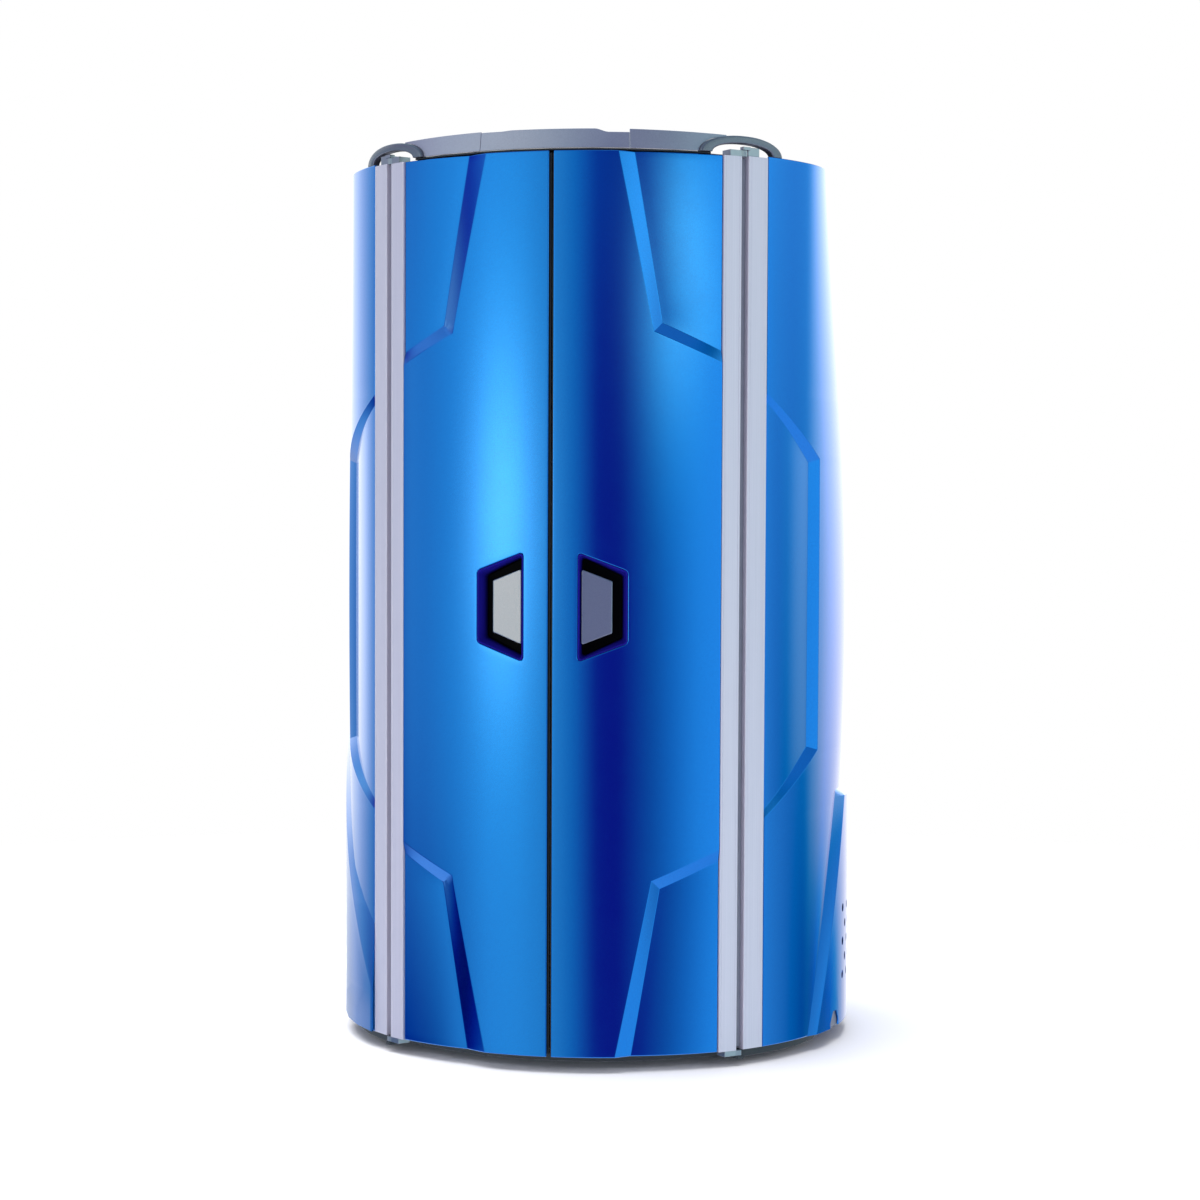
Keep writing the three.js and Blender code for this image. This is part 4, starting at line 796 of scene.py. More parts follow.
def arch_rise(part):
    """Share of an arch's height at a share of its half width from the middle."""
    return math.sqrt(max(0, 1 - abs(part) ** ARCH_SQUARENESS))


def over_arch(angle):
    if abs(angle) < ARCH_CENTRE - ARCH_HALF:
        return FASCIA_BASE
    return FASCIA_BASE + ARCH_CLEAR + ARCH_HEIGHT * arch_rise((abs(angle) - ARCH_CENTRE) / ARCH_HALF)


seam = FASCIA_SEAM - SEAM_GAP
middle_angles = legs(
    -seam, (-FASCIA_CROWN_END, 6), (-FASCIA_CROWN, 8), (FASCIA_CROWN, 18), (FASCIA_CROWN_END, 8),
    (seam, 6),
)
fascia("centre", middle_angles, lambda angle: FASCIA_BASE, crown)
side_angles = between(FASCIA_SEAM + SEAM_GAP, ARCH_CENTRE - ARCH_HALF, 16)
side_angles += [
    ARCH_CENTRE - ARCH_HALF * math.cos(math.radians(turn)) for turn in between(0, ARCH_UNDER, 18)[1:]
]
fascia("right", side_angles, over_arch, shoulder)
fascia("left", [-angle for angle in side_angles], over_arch, shoulder)

# Arch grey: darker glossy lacquer on a moulded rim.
arch_grey = material(
    "graphite_lacquer", {"Metallic": 0.6, "Coat Weight": 0.3, "Coat Roughness": 0.15, "Coat IOR": 1.5},
    grain=40, flakes=1.5, tones=("#60626f", "#6f717f"), rough=(0.3, 0.4),
)

for name, side in SIDES:
    work = bmesh.new()
    hoops = []
    for turn in between(0, 180, 60):
        swing = math.cos(math.radians(turn))
        hole = (ARCH_CENTRE - ARCH_HOLE_HALF * swing, FASCIA_BASE + ARCH_HOLE_HEIGHT * arch_rise(swing))
        rim = (ARCH_CENTRE - ARCH_HALF * swing, FASCIA_BASE + ARCH_HEIGHT * arch_rise(swing))
        hoop = []
        for share, depth in ARCH_SECTION:
            angle, height = mix(hole, rim, share)
            hoop.append(polar(FASCIA_RADIUS + ARCH_PROUD - depth, side * angle, height))
        hoops.append(hoop)
    solid(work, hoops)
    piece(f"arch_{name}", "cabin", "arch_grey", arch_grey, work, f"hinge_arch_{name}", edge=0.8)

# Ceiling: a white steel plate over the user with a wire grille under the fan's intake. The
# exhaust fan hangs in the lid: a black housing with motor and guard, and a seven-blade rotor.
GRILLE_TOP = 2149.6
GRILLE_RADIUS = 112.5
GUARD_BOTTOM = 2251.8
GUARD_RADIUS = 131
WIRE = 4
WIRE_PITCH = 22.5
FAN_BASE = 2247.4
HOUSING_PROFILE = (
    (100, -60.4), (104, -64.4), (106, -64.4), (106, 0), (131, 0), (131, 4), (103, 4), (100, 1),
    (100, -60.4),
)
MOTOR_PROFILE = ((0, -42), (5, -42), (5, -20), (31, -20), (34, -17), (34, -3), (31, 0), (0, 0))
HUB_PROFILE = (
    (5.3, -21), (36, -21), (38, -23), (38, -45), (35, -51), (28, -54), (0, -55), (0, -43),
    (5.3, -43), (5.3, -21),
)
HUB_MIDDLE = 2209.4
MOTOR_RADIUS = 34
FAN_BORE = 100
ARM_BOTTOM = 2229.4
ARM_TOP = 2245.4
ARM_HALF = 6
ARM_INNER = 33
ARM_OUTER = 102
BLADE_COUNT = 7
BLADE_CHORD = 46
BLADE_THICKNESS = 2.5
BLADE_CAMBER = 3
BLADE_ROOT = 30
BLADE_TIP = 96
BLADE_ROOT_PITCH = 34
BLADE_TIP_PITCH = 22
BLADE_STEPS = 8
dress(white_steel, 1, "ceiling_plate")


def wire_ring(work, radius, height):
    half = WIRE / 2
    loop = [(radius + half * x, height + half * y) for x, y in circle(12)]
    lathe(work, loop + loop[:1], sides=72)


def tube(work, ends, radius):
    """Straight closed tube between two points in mm."""
    way = (ends[1] - ends[0]).normalized()
    aside = way.orthogonal().normalized()
    up = way.cross(aside)
    ring = [(aside * x + up * y) * radius for x, y in circle(12)]
    solid(work, [[(end + spot) * MM for spot in ring] for end in ends])


for name, cad_name, radius, height in (
    ("intake_grille", "ceiling_grille", GRILLE_RADIUS, GRILLE_TOP - WIRE / 2),
    ("exhaust_guard", "fan_guard", GUARD_RADIUS, GUARD_BOTTOM + WIRE / 2),
):
    work = bmesh.new()
    rim = radius - WIRE / 2
    ring = rim
    while ring > WIRE_PITCH / 2:
        wire_ring(work, ring, height)
        ring -= WIRE_PITCH
    for turn in (45, 135):
        tube(work, [polar(rim, angle, height) / MM for angle in (turn, turn + 180)], WIRE / 2)
    piece(name, "cabin", "aluminium_profile", aluminium, work, cad_name)

work = bmesh.new()
base = polar(0, 0, FAN_BASE)
lathe(work, HOUSING_PROFILE, sides=96, centre=base)
lathe(work, MOTOR_PROFILE, sides=48, centre=base)
half = math.degrees(ARM_HALF / MOTOR_RADIUS)
far_half = half * MOTOR_RADIUS / FAN_BORE
for turn in (0, 90, 180, 270):
    outline = plan((ARM_INNER, turn - half), (ARM_OUTER, turn - far_half))
    outline += plan((ARM_OUTER, turn + far_half), (ARM_INNER, turn + half))
    prism(work, outline, ARM_BOTTOM, ARM_TOP)
piece("exhaust_housing", "cabin", "black_plastic", black_plastic, work, "fan_housing", edge=0.8)

work = bmesh.new()
lathe(work, HUB_PROFILE, sides=56, centre=base)
for index in range(BLADE_COUNT):
    stations = []
    for share in between(0, 1, BLADE_STEPS):
        reach = lerp(BLADE_ROOT, BLADE_TIP, share)
        pitch = math.radians(lerp(BLADE_ROOT_PITCH, BLADE_TIP_PITCH, share))
        section = []
        for u in between(-1, 1, BLADE_STEPS) + between(1, -1, BLADE_STEPS)[1:-1]:
            upper = len(section) <= BLADE_STEPS
            thick = BLADE_THICKNESS / 2 * math.sqrt(max(0, 1 - u * u))
            depth = BLADE_CAMBER * (1 - u * u) - BLADE_CAMBER / 2 + (thick if upper else -thick)
            chord = u * BLADE_CHORD / 2
            x = chord * math.cos(pitch) - depth * math.sin(pitch)
            z = chord * math.sin(pitch) + depth * math.cos(pitch)
            section.append(placed(x, 0, HUB_MIDDLE + z, 180 + 360 * index / BLADE_COUNT, reach))
        stations.append(section)
    solid(work, stations)
piece("exhaust_rotor", "fan_rotor", "dark_steel", black_plastic, work, "fan_rotor")

# Lamp banks: upright tubes in white lampholder rails, a polished aluminium reflector behind
# them and a clear acrylic shield in front. The rear bank's ballasts sit on a tray behind it.
SHIELD_INNER = 510
SHIELD_OUTER = 514
REFLECTOR_INNER = 572
REFLECTOR_OUTER = 575
LAMP_CIRCLE = 543
LAMP_RADIUS = 19
LAMP_PITCH = 80
LAMP_SEAT = 9
LAMP_END = 2
LAMP_ROUND = 3
HOLDER_HEIGHT = 70
HOLDER_MARGIN = 4
CAP_HEIGHT = 18
CAP_RADIUS = 18.4
CAP_WALL = 2
BANK_BOTTOM = 40.4
BANK_TOP = 2149.6
BANK_START = 39
COLUMN_START = 113.455
COLUMN_END = 120.545
WEDGE_STEP = 1.5


def wedge(work, inner, outer, start, end, bottom, top):
    """Closed curved block between two radii, angles and heights."""
    corners = ((inner, bottom), (outer, bottom), (outer, top), (inner, top))
    turns = between(start, end, math.ceil(abs(end - start) / WEDGE_STEP))
    solid(work, [[polar(radius, turn, height) for radius, height in corners] for turn in turns])


# Polished reflector aluminium: a bright mirror with faint rolling streaks.
mirror = material(
    "polished_reflector_aluminium", {"Base Color": "#e4e6ea", "Metallic": 1.0}, grain=4, stretch=100,
    rough=(0.08, 0.2),
)

# Lamp glass: white phosphor behind clear glass, a little violet, slightly uneven, with a faint
# glow so the tubes read white behind the acrylic.
lamp_glass = material(
    "phosphor_coated_glass",
    {"Roughness": 0.12, "IOR": 1.5, "Emission Color": "#dfe2ff", "Emission Strength": 0.35},
    grain=30, detail=4, tones=("#e6e6f4", "#f6f6fd"),
)

# Clear acrylic: a cast sheet, very slightly blue, with faint cleaning haze.
acrylic = material(
    "clear_acrylic", {"Base Color": "#eef5fb", "Transmission Weight": 1.0, "IOR": 1.49},
    grain=70, detail=3, rough=(0.01, 0.05),
)


def lamp_bank(name, body, cad_name, start, end, bottom, top):
    """Tubes, their metal caps and the holder rails of one bank."""
    inner = LAMP_CIRCLE - LAMP_RADIUS - HOLDER_MARGIN
    outer = LAMP_CIRCLE + LAMP_RADIUS + HOLDER_MARGIN
    work = bmesh.new()
    wedge(work, inner, outer, start, end, bottom, bottom + HOLDER_HEIGHT)
    wedge(work, inner, outer, start, end, top - HOLDER_HEIGHT, top)
    piece(f"{name}_holders", body, "lamp_white", white_steel, work, edge=2)
    low = bottom + HOLDER_HEIGHT - LAMP_SEAT
    high = top - HOLDER_HEIGHT + LAMP_SEAT
    low_cap = low + CAP_HEIGHT
    high_cap = high - CAP_HEIGHT
    tubes = bmesh.new()
    caps = bmesh.new()
    count = math.floor(math.radians(abs(end - start)) * LAMP_CIRCLE / LAMP_PITCH)
    for i in range(count):
        centre = polar(LAMP_CIRCLE, start + (end - start) * (i + 0.5) / count, 0)
        lathe(tubes, [
            (0, low_cap - LAMP_END), (LAMP_RADIUS - LAMP_ROUND, low_cap - LAMP_END),
            (LAMP_RADIUS, low_cap + LAMP_ROUND), (LAMP_RADIUS, high_cap - LAMP_ROUND),
            (LAMP_RADIUS - LAMP_ROUND, high_cap + LAMP_END), (0, high_cap + LAMP_END),
        ], sides=24, centre=centre)
        for near, far in ((low, low_cap), (high, high_cap)):
            profile = [(0, near), (CAP_RADIUS, near), (CAP_RADIUS, far)]
            lathe(caps, profile + [(CAP_RADIUS - CAP_WALL, far), (0, far)], sides=24, centre=centre)
    piece(f"{name}_tubes", body, "lamp_white", lamp_glass, tubes, cad_name)
    piece(f"{name}_caps", body, "aluminium_profile", aluminium, caps)


for name, cad_name, start, end in (
    ("right_bank", "side_{}_right", BANK_START, COLUMN_START),
    ("left_bank", "side_{}_left", -BANK_START, -COLUMN_START),
    ("rear_bank", "rear_{}", COLUMN_END, 360 - COLUMN_END),
):
    lamp_bank(name, "cabin", cad_name.format("lamps"), start, end, BANK_BOTTOM, BANK_TOP)
    work = bmesh.new()
    wedge(work, REFLECTOR_INNER, REFLECTOR_OUTER, start, end, BANK_BOTTOM, BANK_TOP)
    piece(f"{name}_mirror", "cabin", "reflector", mirror, work, cad_name.format("reflector"))
    work = bmesh.new()
    wedge(work, SHIELD_INNER, SHIELD_OUTER, start, end, BANK_BOTTOM, BANK_TOP)
    piece(f"{name}_window", "cabin", "acrylic", acrylic, work, cad_name.format("shield"))
dress(dark_steel, 1.5, "ballast_tray")

# Controls: a black panel on the right-hand service column with a glass display window and
# three round push buttons, red for stop, white for the fan and green for start.
COLUMN_ANGLE = 117
COLUMN_HALF = 3.5
COLUMN_FACE = SHIELD_INNER * math.cos(math.radians(COLUMN_HALF))
BUTTON_PROFILE = ((0, 11.4), (10, 11.4), (10, 22.4), (9.4, 23.6), (8, 24.4), (6, 24), (0, 23.5))
BUTTONS = (
    ("stop_button", "button_red", "#b8262c", 1157),
    ("fan_button", "button_white", "#e3e5e9", 1195),
    ("start_button", "button_green", "#2f9e4f", 1233),
)
dress(black_plastic, 2, "control_panel")

# Display glass: black, glossy, with a faint grey grid of unlit segments behind it.
display_glass = material("black_display_glass", {"Roughness": 0.06, "IOR": 1.52})
tree = display_glass.node_tree
cells = {"Scale": per_metre(12), "Color1": "#0b0d10", "Color2": "#101317", "Mortar": "#07080a"}
cells["Vector"] = node(tree, "TexCoord").outputs["Object"]
colour = node(tree, "TexBrick", cells).outputs["Color"]
plug(tree, tree.nodes["Principled BSDF"], {"Base Color": colour})
dress(display_glass, 0.6, "display_window")

# Button plastic: moulded in the button's colour, rubbed glossier in places by fingers.
for name, slot, colour, height in BUTTONS:
    finish = material(
        f"moulded_plastic_{slot}", {"Base Color": colour, "IOR": 1.53}, grain=6, detail=4,
        rough=(0.25, 0.42),
    )
    work = bmesh.new()
    turned_in(work, BUTTON_PROFILE, COLUMN_ANGLE, COLUMN_FACE, height)
    piece(f"{name}_cap", name, slot, finish, work, name)

# Hinges: steel pivot brackets, zinc plated on the post tops under the arches and powder coated
# on the base under the doors. The screws that hold the lid are zinc plated too.
LID_SCREWS = 12
LID_SCREW_CIRCLE = 560
LID_SCREW_PROFILE = ((0, -1), (7, -1), (7, 1.4), (5.4, 3.4), (2.8, 3.4), (2.8, 1.133), (0, 1.133))
zinc = material(
    "zinc_plated_steel", {"Base Color": "#9d98a2", "Metallic": 1.0}, grain=8, detail=4,
    rough=(0.26, 0.44),
)
dress(zinc, 1, "top_hinge_bracket_right", "top_hinge_bracket_left")
dress(dark_steel, 1, "bottom_hinge_bracket_right", "bottom_hinge_bracket_left")
work = bmesh.new()
for index in range(LID_SCREWS):
    centre = polar(LID_SCREW_CIRCLE, 360 * (index + 0.5) / LID_SCREWS, LID_TOP)
    lathe(work, LID_SCREW_PROFILE, sides=24, centre=centre)
piece("lid_screws", "cabin", "hinge_steel", zinc, work)

# Doors: each is a blue moulded skin on a white steel tray with its own lamps and shield. The
# skin's middle field stands proud of the lower fields at its outer corners, and a pull with a
# grip plate is let into it. An aluminium profile with the hinge blocks closes the outer edge.
SPLIT_HALF = 5.5
SPLIT_SEAL = 1
SPLIT_SEAL_FACE = 652
SPLIT_SEAL_BACK = 640
SPLIT_SEAL_LAP = 0.3
DOOR_EDGE = 37.2
EDGE_RELIEF = 5
NEAR_COLUMNS = 6
HOLE_COLUMNS = 14
FAR_COLUMNS = 24
CORNER_ROWS = 22
FIELD_ROWS = 14
CALM_ROWS = 12
HOLE_ROWS = 13
LOW_ENDS = {"right": 17.7, "left": 19.6}
LOW_CORNERS = {"right": 23.9, "left": 26.2}
LOW_CORNER_RISE = 410
LOW_EDGE_RISE = 474
RAISED_ENDS = {"right": 13.9, "left": 14.2}
RAISED_CORNERS = {"right": 21.6, "left": 22.5}
RAISED_CORNER_RISE = 433
RAISED_EDGE_RISE = 505
PULL_ANGLE = 11.1
PULL_WIDTH = 125
PULL_TALL = 269
PULL_SHORT = 179
PULL_DEPTH = 52
PULL_LOOPS = (
    (12, 52), (2, 5), (1.8, 1.5), (2.4, 0.4), (3.6, 0.2), (4.8, 0.8), (5.6, 2.5), (13, 40), (15, 46),
    (20, 48),
)
PULL_OPENING_INSET = 1.3
PULL_CORNER = 9
PULL_CORNER_CUT = 0.586
PULL_CALM = 320
PULL_EASE_ANGLE = 30
GRIP_WIDTH = 76
GRIP_TALL = 184
GRIP_SHORT = 127
GRIP_START = -51.878
GRIP_CORNER = 5
GRIP_LOOPS = ((1.5, 22), (0.4, 21.4), (0, 20), (0, 16.5), (0.5, 15), (1.6, 14.2), (3, 14))
GRIP_FOOT = 12
GRIP_FOOT_START = -39.878
GRIP_FOOT_DEPTHS = (21, 47.6)
GRIP_FOOT_CORNER = 3
TRAY_GAP = 4
TRAY_SHEET = 4
TRAY_SPLIT = 8
TRAY_BACK_GAP = 8
CLEARANCE = 0.4
CLEARANCE_ANGLE = 0.05
PROFILE_START = 37.237
PROFILE_END = 41.7
PROFILE_WALL = 4
PROFILE_ROUND = 1.5
HINGE_ANGLE = 42.575
HINGE_RADIUS = 659
HINGE_BLOCK = [
    (-45, -4), (-12.07, -4), (-2, -6.6), (-5, -2), (-5, 2), (-2, 6.6), (-12.07, 30), (-45, 30),
]
HINGE_ROUND = 0.8
KNUCKLE = 7
KNUCKLE_BORE = 4.3
TOP_BLOCK = 15
FOOT_BLOCK = 13

hole_half = math.degrees((PULL_WIDTH / 2 - PULL_OPENING_INSET) / BODY_RADIUS)
hole_from = PULL_ANGLE - hole_half
hole_to = PULL_ANGLE + hole_half
hole_tall = PULL_TALL / 2 - PULL_OPENING_INSET
hole_short = PULL_SHORT / 2 - PULL_OPENING_INSET
split_angle = math.degrees(SPLIT_HALF / BODY_RADIUS)


def door_edges(rise, name):
    """The raised edge and the low edge of a door's bevel beside a rise, as (angle, rise)."""
    low_corner = (LOW_CORNERS[name], LOW_CORNER_RISE)
    share = rise / RAISED_CORNER_RISE
    if share <= 1:
        raised = mix((RAISED_ENDS[name], 0), (RAISED_CORNERS[name], RAISED_CORNER_RISE), share)
        return raised, mix((LOW_ENDS[name], 0), low_corner, share)
    share = min(1, (rise - RAISED_CORNER_RISE) / (RAISED_EDGE_RISE - RAISED_CORNER_RISE))
    raised = (lerp(RAISED_CORNERS[name], DOOR_EDGE, share), rise)
    return raised, mix(low_corner, (DOOR_EDGE, LOW_EDGE_RISE), share)


def beside_pull(angle, offset):
    """Height of a grid row beside the pull, where the rows close in with its slanted edges."""
    if angle < hole_from or angle > PULL_EASE_ANGLE or abs(offset) > PULL_CALM:
        return offset
    close = hole_short / hole_tall
    if angle <= hole_to:
        share = lerp(1, close, (angle - hole_from) / (hole_to - hole_from))
    else:
        share = lerp(close, 1, (angle - hole_to) / (PULL_EASE_ANGLE - hole_to))
    far = abs(offset) - hole_tall
    if far <= 0:
        return offset * share
    return math.copysign(lerp(hole_tall * share, PULL_CALM, far / (PULL_CALM - hole_tall)), offset)


def low_depth(angle, rise, name):
    """Depth of the lower fields: deepest along the bevel, nearly flush at the door's edge."""
    start = lerp(LOW_ENDS[name], LOW_CORNERS[name], min(1, rise / LOW_CORNER_RISE))
    return lerp(RELIEF, EDGE_RELIEF, max(0, angle - start) / (DOOR_EDGE - start))


columns = legs(split_angle, (hole_from, NEAR_COLUMNS), (hole_to, HOLE_COLUMNS), (DOOR_EDGE, FAR_COLUMNS))
half_rows = legs(
    0, (RAISED_CORNER_RISE, CORNER_ROWS), (RAISED_EDGE_RISE, SLANT_STEPS),
    (HALF_HEIGHT - PULL_CALM, FIELD_ROWS), (HALF_HEIGHT - hole_tall, CALM_ROWS),
    (HALF_HEIGHT, HOLE_ROWS),
)
offsets = [rise - HALF_HEIGHT for rise in half_rows]
offsets += [-offset for offset in reversed(offsets[:-1])]
hole_left = NEAR_COLUMNS
hole_right = NEAR_COLUMNS + HOLE_COLUMNS
hole_low = len(half_rows) - HOLE_ROWS - 1
hole_high = hole_low + 2 * HOLE_ROWS


def door_field(name):
    """Grid of a door's raised field, from the split to the raised edge."""
    grid = []
    for offset in offsets:
        edge_angle = door_edges(HALF_HEIGHT - abs(offset), name)[0][0]
        row = []
        for column in columns:
            angle = lerp(split_angle, edge_angle, (column - split_angle) / (DOOR_EDGE - split_angle))
            row.append((angle, MIDDLE + beside_pull(angle, offset), BODY_RADIUS))
        grid.append(row)
    for i, down in ((hole_low, 1), (hole_high, -1)):
        for j, aside in ((hole_left, 1), (hole_right, -1)):
            between_ends = mix(grid[i + down][j], grid[i][j + aside], 0.5)
            grid[i][j] = mix(grid[i][j], between_ends, PULL_CORNER_CUT)
    return grid


def pull_outline(inset, width=PULL_WIDTH, tall=PULL_TALL, short=PULL_SHORT, start=-PULL_WIDTH / 2):
    """Corners of a pull or grip, taller on the side by the split, as (x, height)."""
    near = start + inset
    far = start + width - inset
    tall_half = tall / 2 - inset
    short_half = short / 2 - inset
    return [
        (near, MIDDLE - tall_half), (far, MIDDLE - short_half),
        (far, MIDDLE + short_half), (near, MIDDLE + tall_half),
    ]


def loft(work, loops, side, curved=False):
    """Closed solid through outlines of (x, height), each at its depth behind the skin.

    A curved one follows the skin's own curve at the mouth and is flat deep in.
    """
    rows = []
    for outline, depth in loops:
        follow = max(0, 1 - depth / PULL_DEPTH) if curved else 0
        row = []
        for x, height in outline:
            bow = BODY_RADIUS - math.sqrt(BODY_RADIUS ** 2 - x ** 2)
            row.append(placed(side * x, depth + bow * follow, height, side * PULL_ANGLE, BODY_RADIUS))
        rows.append(row)
    solid(work, rows)


# Cup plastic: navy at the mouth, darkening to black with depth; the black deep in the cup is painted
# shade of the recess.
navy = material(
    "navy_plastic_painted_recess_shade", {"IOR": 1.5, "Specular IOR Level": 0.04}, grain=25, detail=3,
    rough=(0.45, 0.6),
)
tree = navy.node_tree
place = node(tree, "TexCoord").outputs["Object"]
flat = node(tree, "VectorMath", {0: place, 1: (1, 1, 0)}, operation="MULTIPLY").outputs["Vector"]
out = node(tree, "VectorMath", {0: flat}, operation="LENGTH").outputs["Value"]
mouth_share = node(tree, "MapRange", {
    "Value": out, "From Min": (BODY_RADIUS - PULL_DEPTH) * MM, "From Max": BODY_RADIUS * MM,
}).outputs["Result"]
# Painted shade: the colour runs from navy at the mouth to black deep in the cup, darker the deeper in.
recess_shade_colour = blend(tree, mouth_share, ((0.2, "#010104"), (0.52, "#1a1686")))
plug(tree, tree.nodes["Principled BSDF"], {"Base Color": recess_shade_colour})

# Grip silver: bead-blasted cast metal, grey with a fine sparkle. The grain is about 0.3 mm in
# life and drawn at 2.5 mm.
grip_silver = material(
    "bead_blasted_aluminium", {"Metallic": 0.85}, grain=2.5, detail=3, tones=("#878a99", "#999dac"),
    rough=(0.28, 0.38), bump=("Normal", 0.4, 0.5),
)

for name, side in SIDES:
    body = f"{name}_door"
    patches = around(door_field(name), hole_low, hole_high, hole_left, hole_right)
    edges = [door_edges(rise, name) for rise in half_rows if rise <= RAISED_EDGE_RISE]
    low_line = [low for raised, low in edges]
    edge_line = [(DOOR_EDGE, rise) for rise in between(0, LOW_EDGE_RISE, CORNER_ROWS)]
    end_line = [(angle, 0) for angle in between(LOW_ENDS[name], DOOR_EDGE, SLANT_STEPS)]
    corner_field = fill(low_line[:CORNER_ROWS + 1], edge_line, end_line, low_line[CORNER_ROWS:])
    for start, way in ((DOOR_BOTTOM, 1), (DOOR_TOP, -1)):
        def at(angle, rise, drop):
            return angle, start + way * rise, BODY_RADIUS - drop
        bevel = []
        for raised, low in edges:
            depth = low_depth(*low, name)
            bevel.append([at(*mix(raised, low, s), depth * ramp(s)) for s in bevel_shares])
        patches += [bevel, [[at(*spot, low_depth(*spot, name)) for spot in row] for row in corner_field]]
    work = sheet(patches, SKIN, side)
    cad_name = f"door_skin_{name}"
    piece(f"skin_{name}_door", body, "blue_skin", blue, work, cad_name, edge=PANEL_EDGE, sharp=CREASE)

    work = bmesh.new()
    loops = [(rounded(pull_outline(inset), PULL_CORNER, steps=6), depth) for inset, depth in PULL_LOOPS]
    loft(work, loops, side, curved=True)
    piece(f"pull_cup_{name}", body, "navy_cup", navy, work, f"handle_cup_{name}")

    work = bmesh.new()
    loops = []
    for inset, depth in GRIP_LOOPS:
        corners = pull_outline(inset, GRIP_WIDTH, GRIP_TALL, GRIP_SHORT, GRIP_START)
        loops.append((rounded(corners, GRIP_CORNER, steps=5), depth))
    loft(work, loops, side)
    corners = pull_outline(0, GRIP_FOOT, GRIP_SHORT, GRIP_SHORT, GRIP_FOOT_START)
    loft(work, [(rounded(corners, GRIP_FOOT_CORNER), depth) for depth in GRIP_FOOT_DEPTHS], side)
    piece(f"grip_{name}", body, "grip_silver", grip_silver, work, f"grip_plate_{name}")

    start = side * math.degrees(TRAY_SPLIT / SHIELD_INNER)
    end = side * DOOR_EDGE
    bottom = DOOR_BOTTOM + TRAY_GAP
    top = DOOR_TOP - TRAY_GAP
    mouth = SHIELD_OUTER + CLEARANCE
    back = BODY_RADIUS - SKIN - TRAY_BACK_GAP
    low_back = back - RELIEF
    wall = side * math.degrees(TRAY_SHEET / mouth)
    work = bmesh.new()
    wedge(work, REFLECTOR_INNER, REFLECTOR_OUTER, start, end, bottom, top)
    wedge(work, mouth, back, start, start + wall, bottom, top)
    wedge(work, mouth, low_back, end - wall, end, bottom, top)
    wedge(work, mouth, low_back, start, end, bottom, bottom + TRAY_SHEET)
    wedge(work, mouth, low_back, start, end, top - TRAY_SHEET, top)
    piece(f"tray_{name}", body, "white_steel", white_steel, work, f"door_tray_{name}")
    clear = wall + side * CLEARANCE_ANGLE
    inside = TRAY_SHEET + CLEARANCE
    ends = (start + clear, end - clear, bottom + inside, top - inside)
    lamp_bank(f"{name}_door_bank", body, f"door_lamps_{name}", *ends)
    work = bmesh.new()
    wedge(work, SHIELD_INNER, SHIELD_OUTER, start, end, bottom, top)
    piece(f"{name}_door_window", body, "acrylic", acrylic, work, f"door_shield_{name}")

    work = bmesh.new()
    wall = math.degrees(PROFILE_WALL / BODY_RADIUS)
    web = BODY_RADIUS - PROFILE_WALL
    corners = plan(
        (BODY_RADIUS, PROFILE_START), (BODY_RADIUS, PROFILE_END), (POST_INNER, PROFILE_END),
        (POST_INNER, PROFILE_END - wall), (web, PROFILE_END - wall), (web, PROFILE_START + wall),
        (POST_INNER, PROFILE_START + wall), (POST_INNER, PROFILE_START),
    )
    prism(work, lined(rounded(corners, PROFILE_ROUND)), DOOR_BOTTOM, DOOR_TOP, side)
    piece(f"edge_profile_{name}", body, "aluminium_profile", aluminium, work, f"door_edge_profile_{name}")

    block = rounded(HINGE_BLOCK, HINGE_ROUND)
    axis = (side * HINGE_ANGLE, HINGE_RADIUS)
    work = bmesh.new()
    for low, high in ((DOOR_TOP, DOOR_TOP + TOP_BLOCK), (DOOR_BOTTOM - FOOT_BLOCK, DOOR_BOTTOM)):
        solid(work, [[placed(side * x, y, z, *axis) for x, y in block] for z in (low, high)])
        ring = [(KNUCKLE_BORE, low), (KNUCKLE, low), (KNUCKLE, high), (KNUCKLE_BORE, high)]
        ring.append(ring[0])
        skin(work, [[placed(r * x, r * y, z, *axis) for x, y in circle(24)] for r, z in ring])
    piece(f"hinge_blocks_{name}", body, "hinge_steel", zinc, work, edge=0.6)

    work = bmesh.new()
    near = side * math.degrees(SPLIT_SEAL / BODY_RADIUS)
    wedge(work, SPLIT_SEAL_BACK, SPLIT_SEAL_FACE, near, start + side * SPLIT_SEAL_LAP, bottom, top)
    piece(f"split_seal_{name}", body, "black_plastic", black_plastic, work, edge=1)

# Studio: a white floor that fades into a white background, lit from above by a softbox of its
# own. Paint and metal reflect the room: soft lamps left of the camera and high on the right,
# dim violet behind the camera, a dark ceiling and the white sweep behind the cabin.
FLOOR_SIZE = 6
FLOOR_FADE_START = 1.8
FLOOR_FADE_END = 4.5
SOFTBOX_DISTANCE = 5200
KEY_TURN = -32
KEY_HEIGHT = 1700
FILL_TURN = 60
FILL_HEIGHT = 1900
ROOM_STRENGTH = 2
AMBIENT_STRENGTH = 0.8

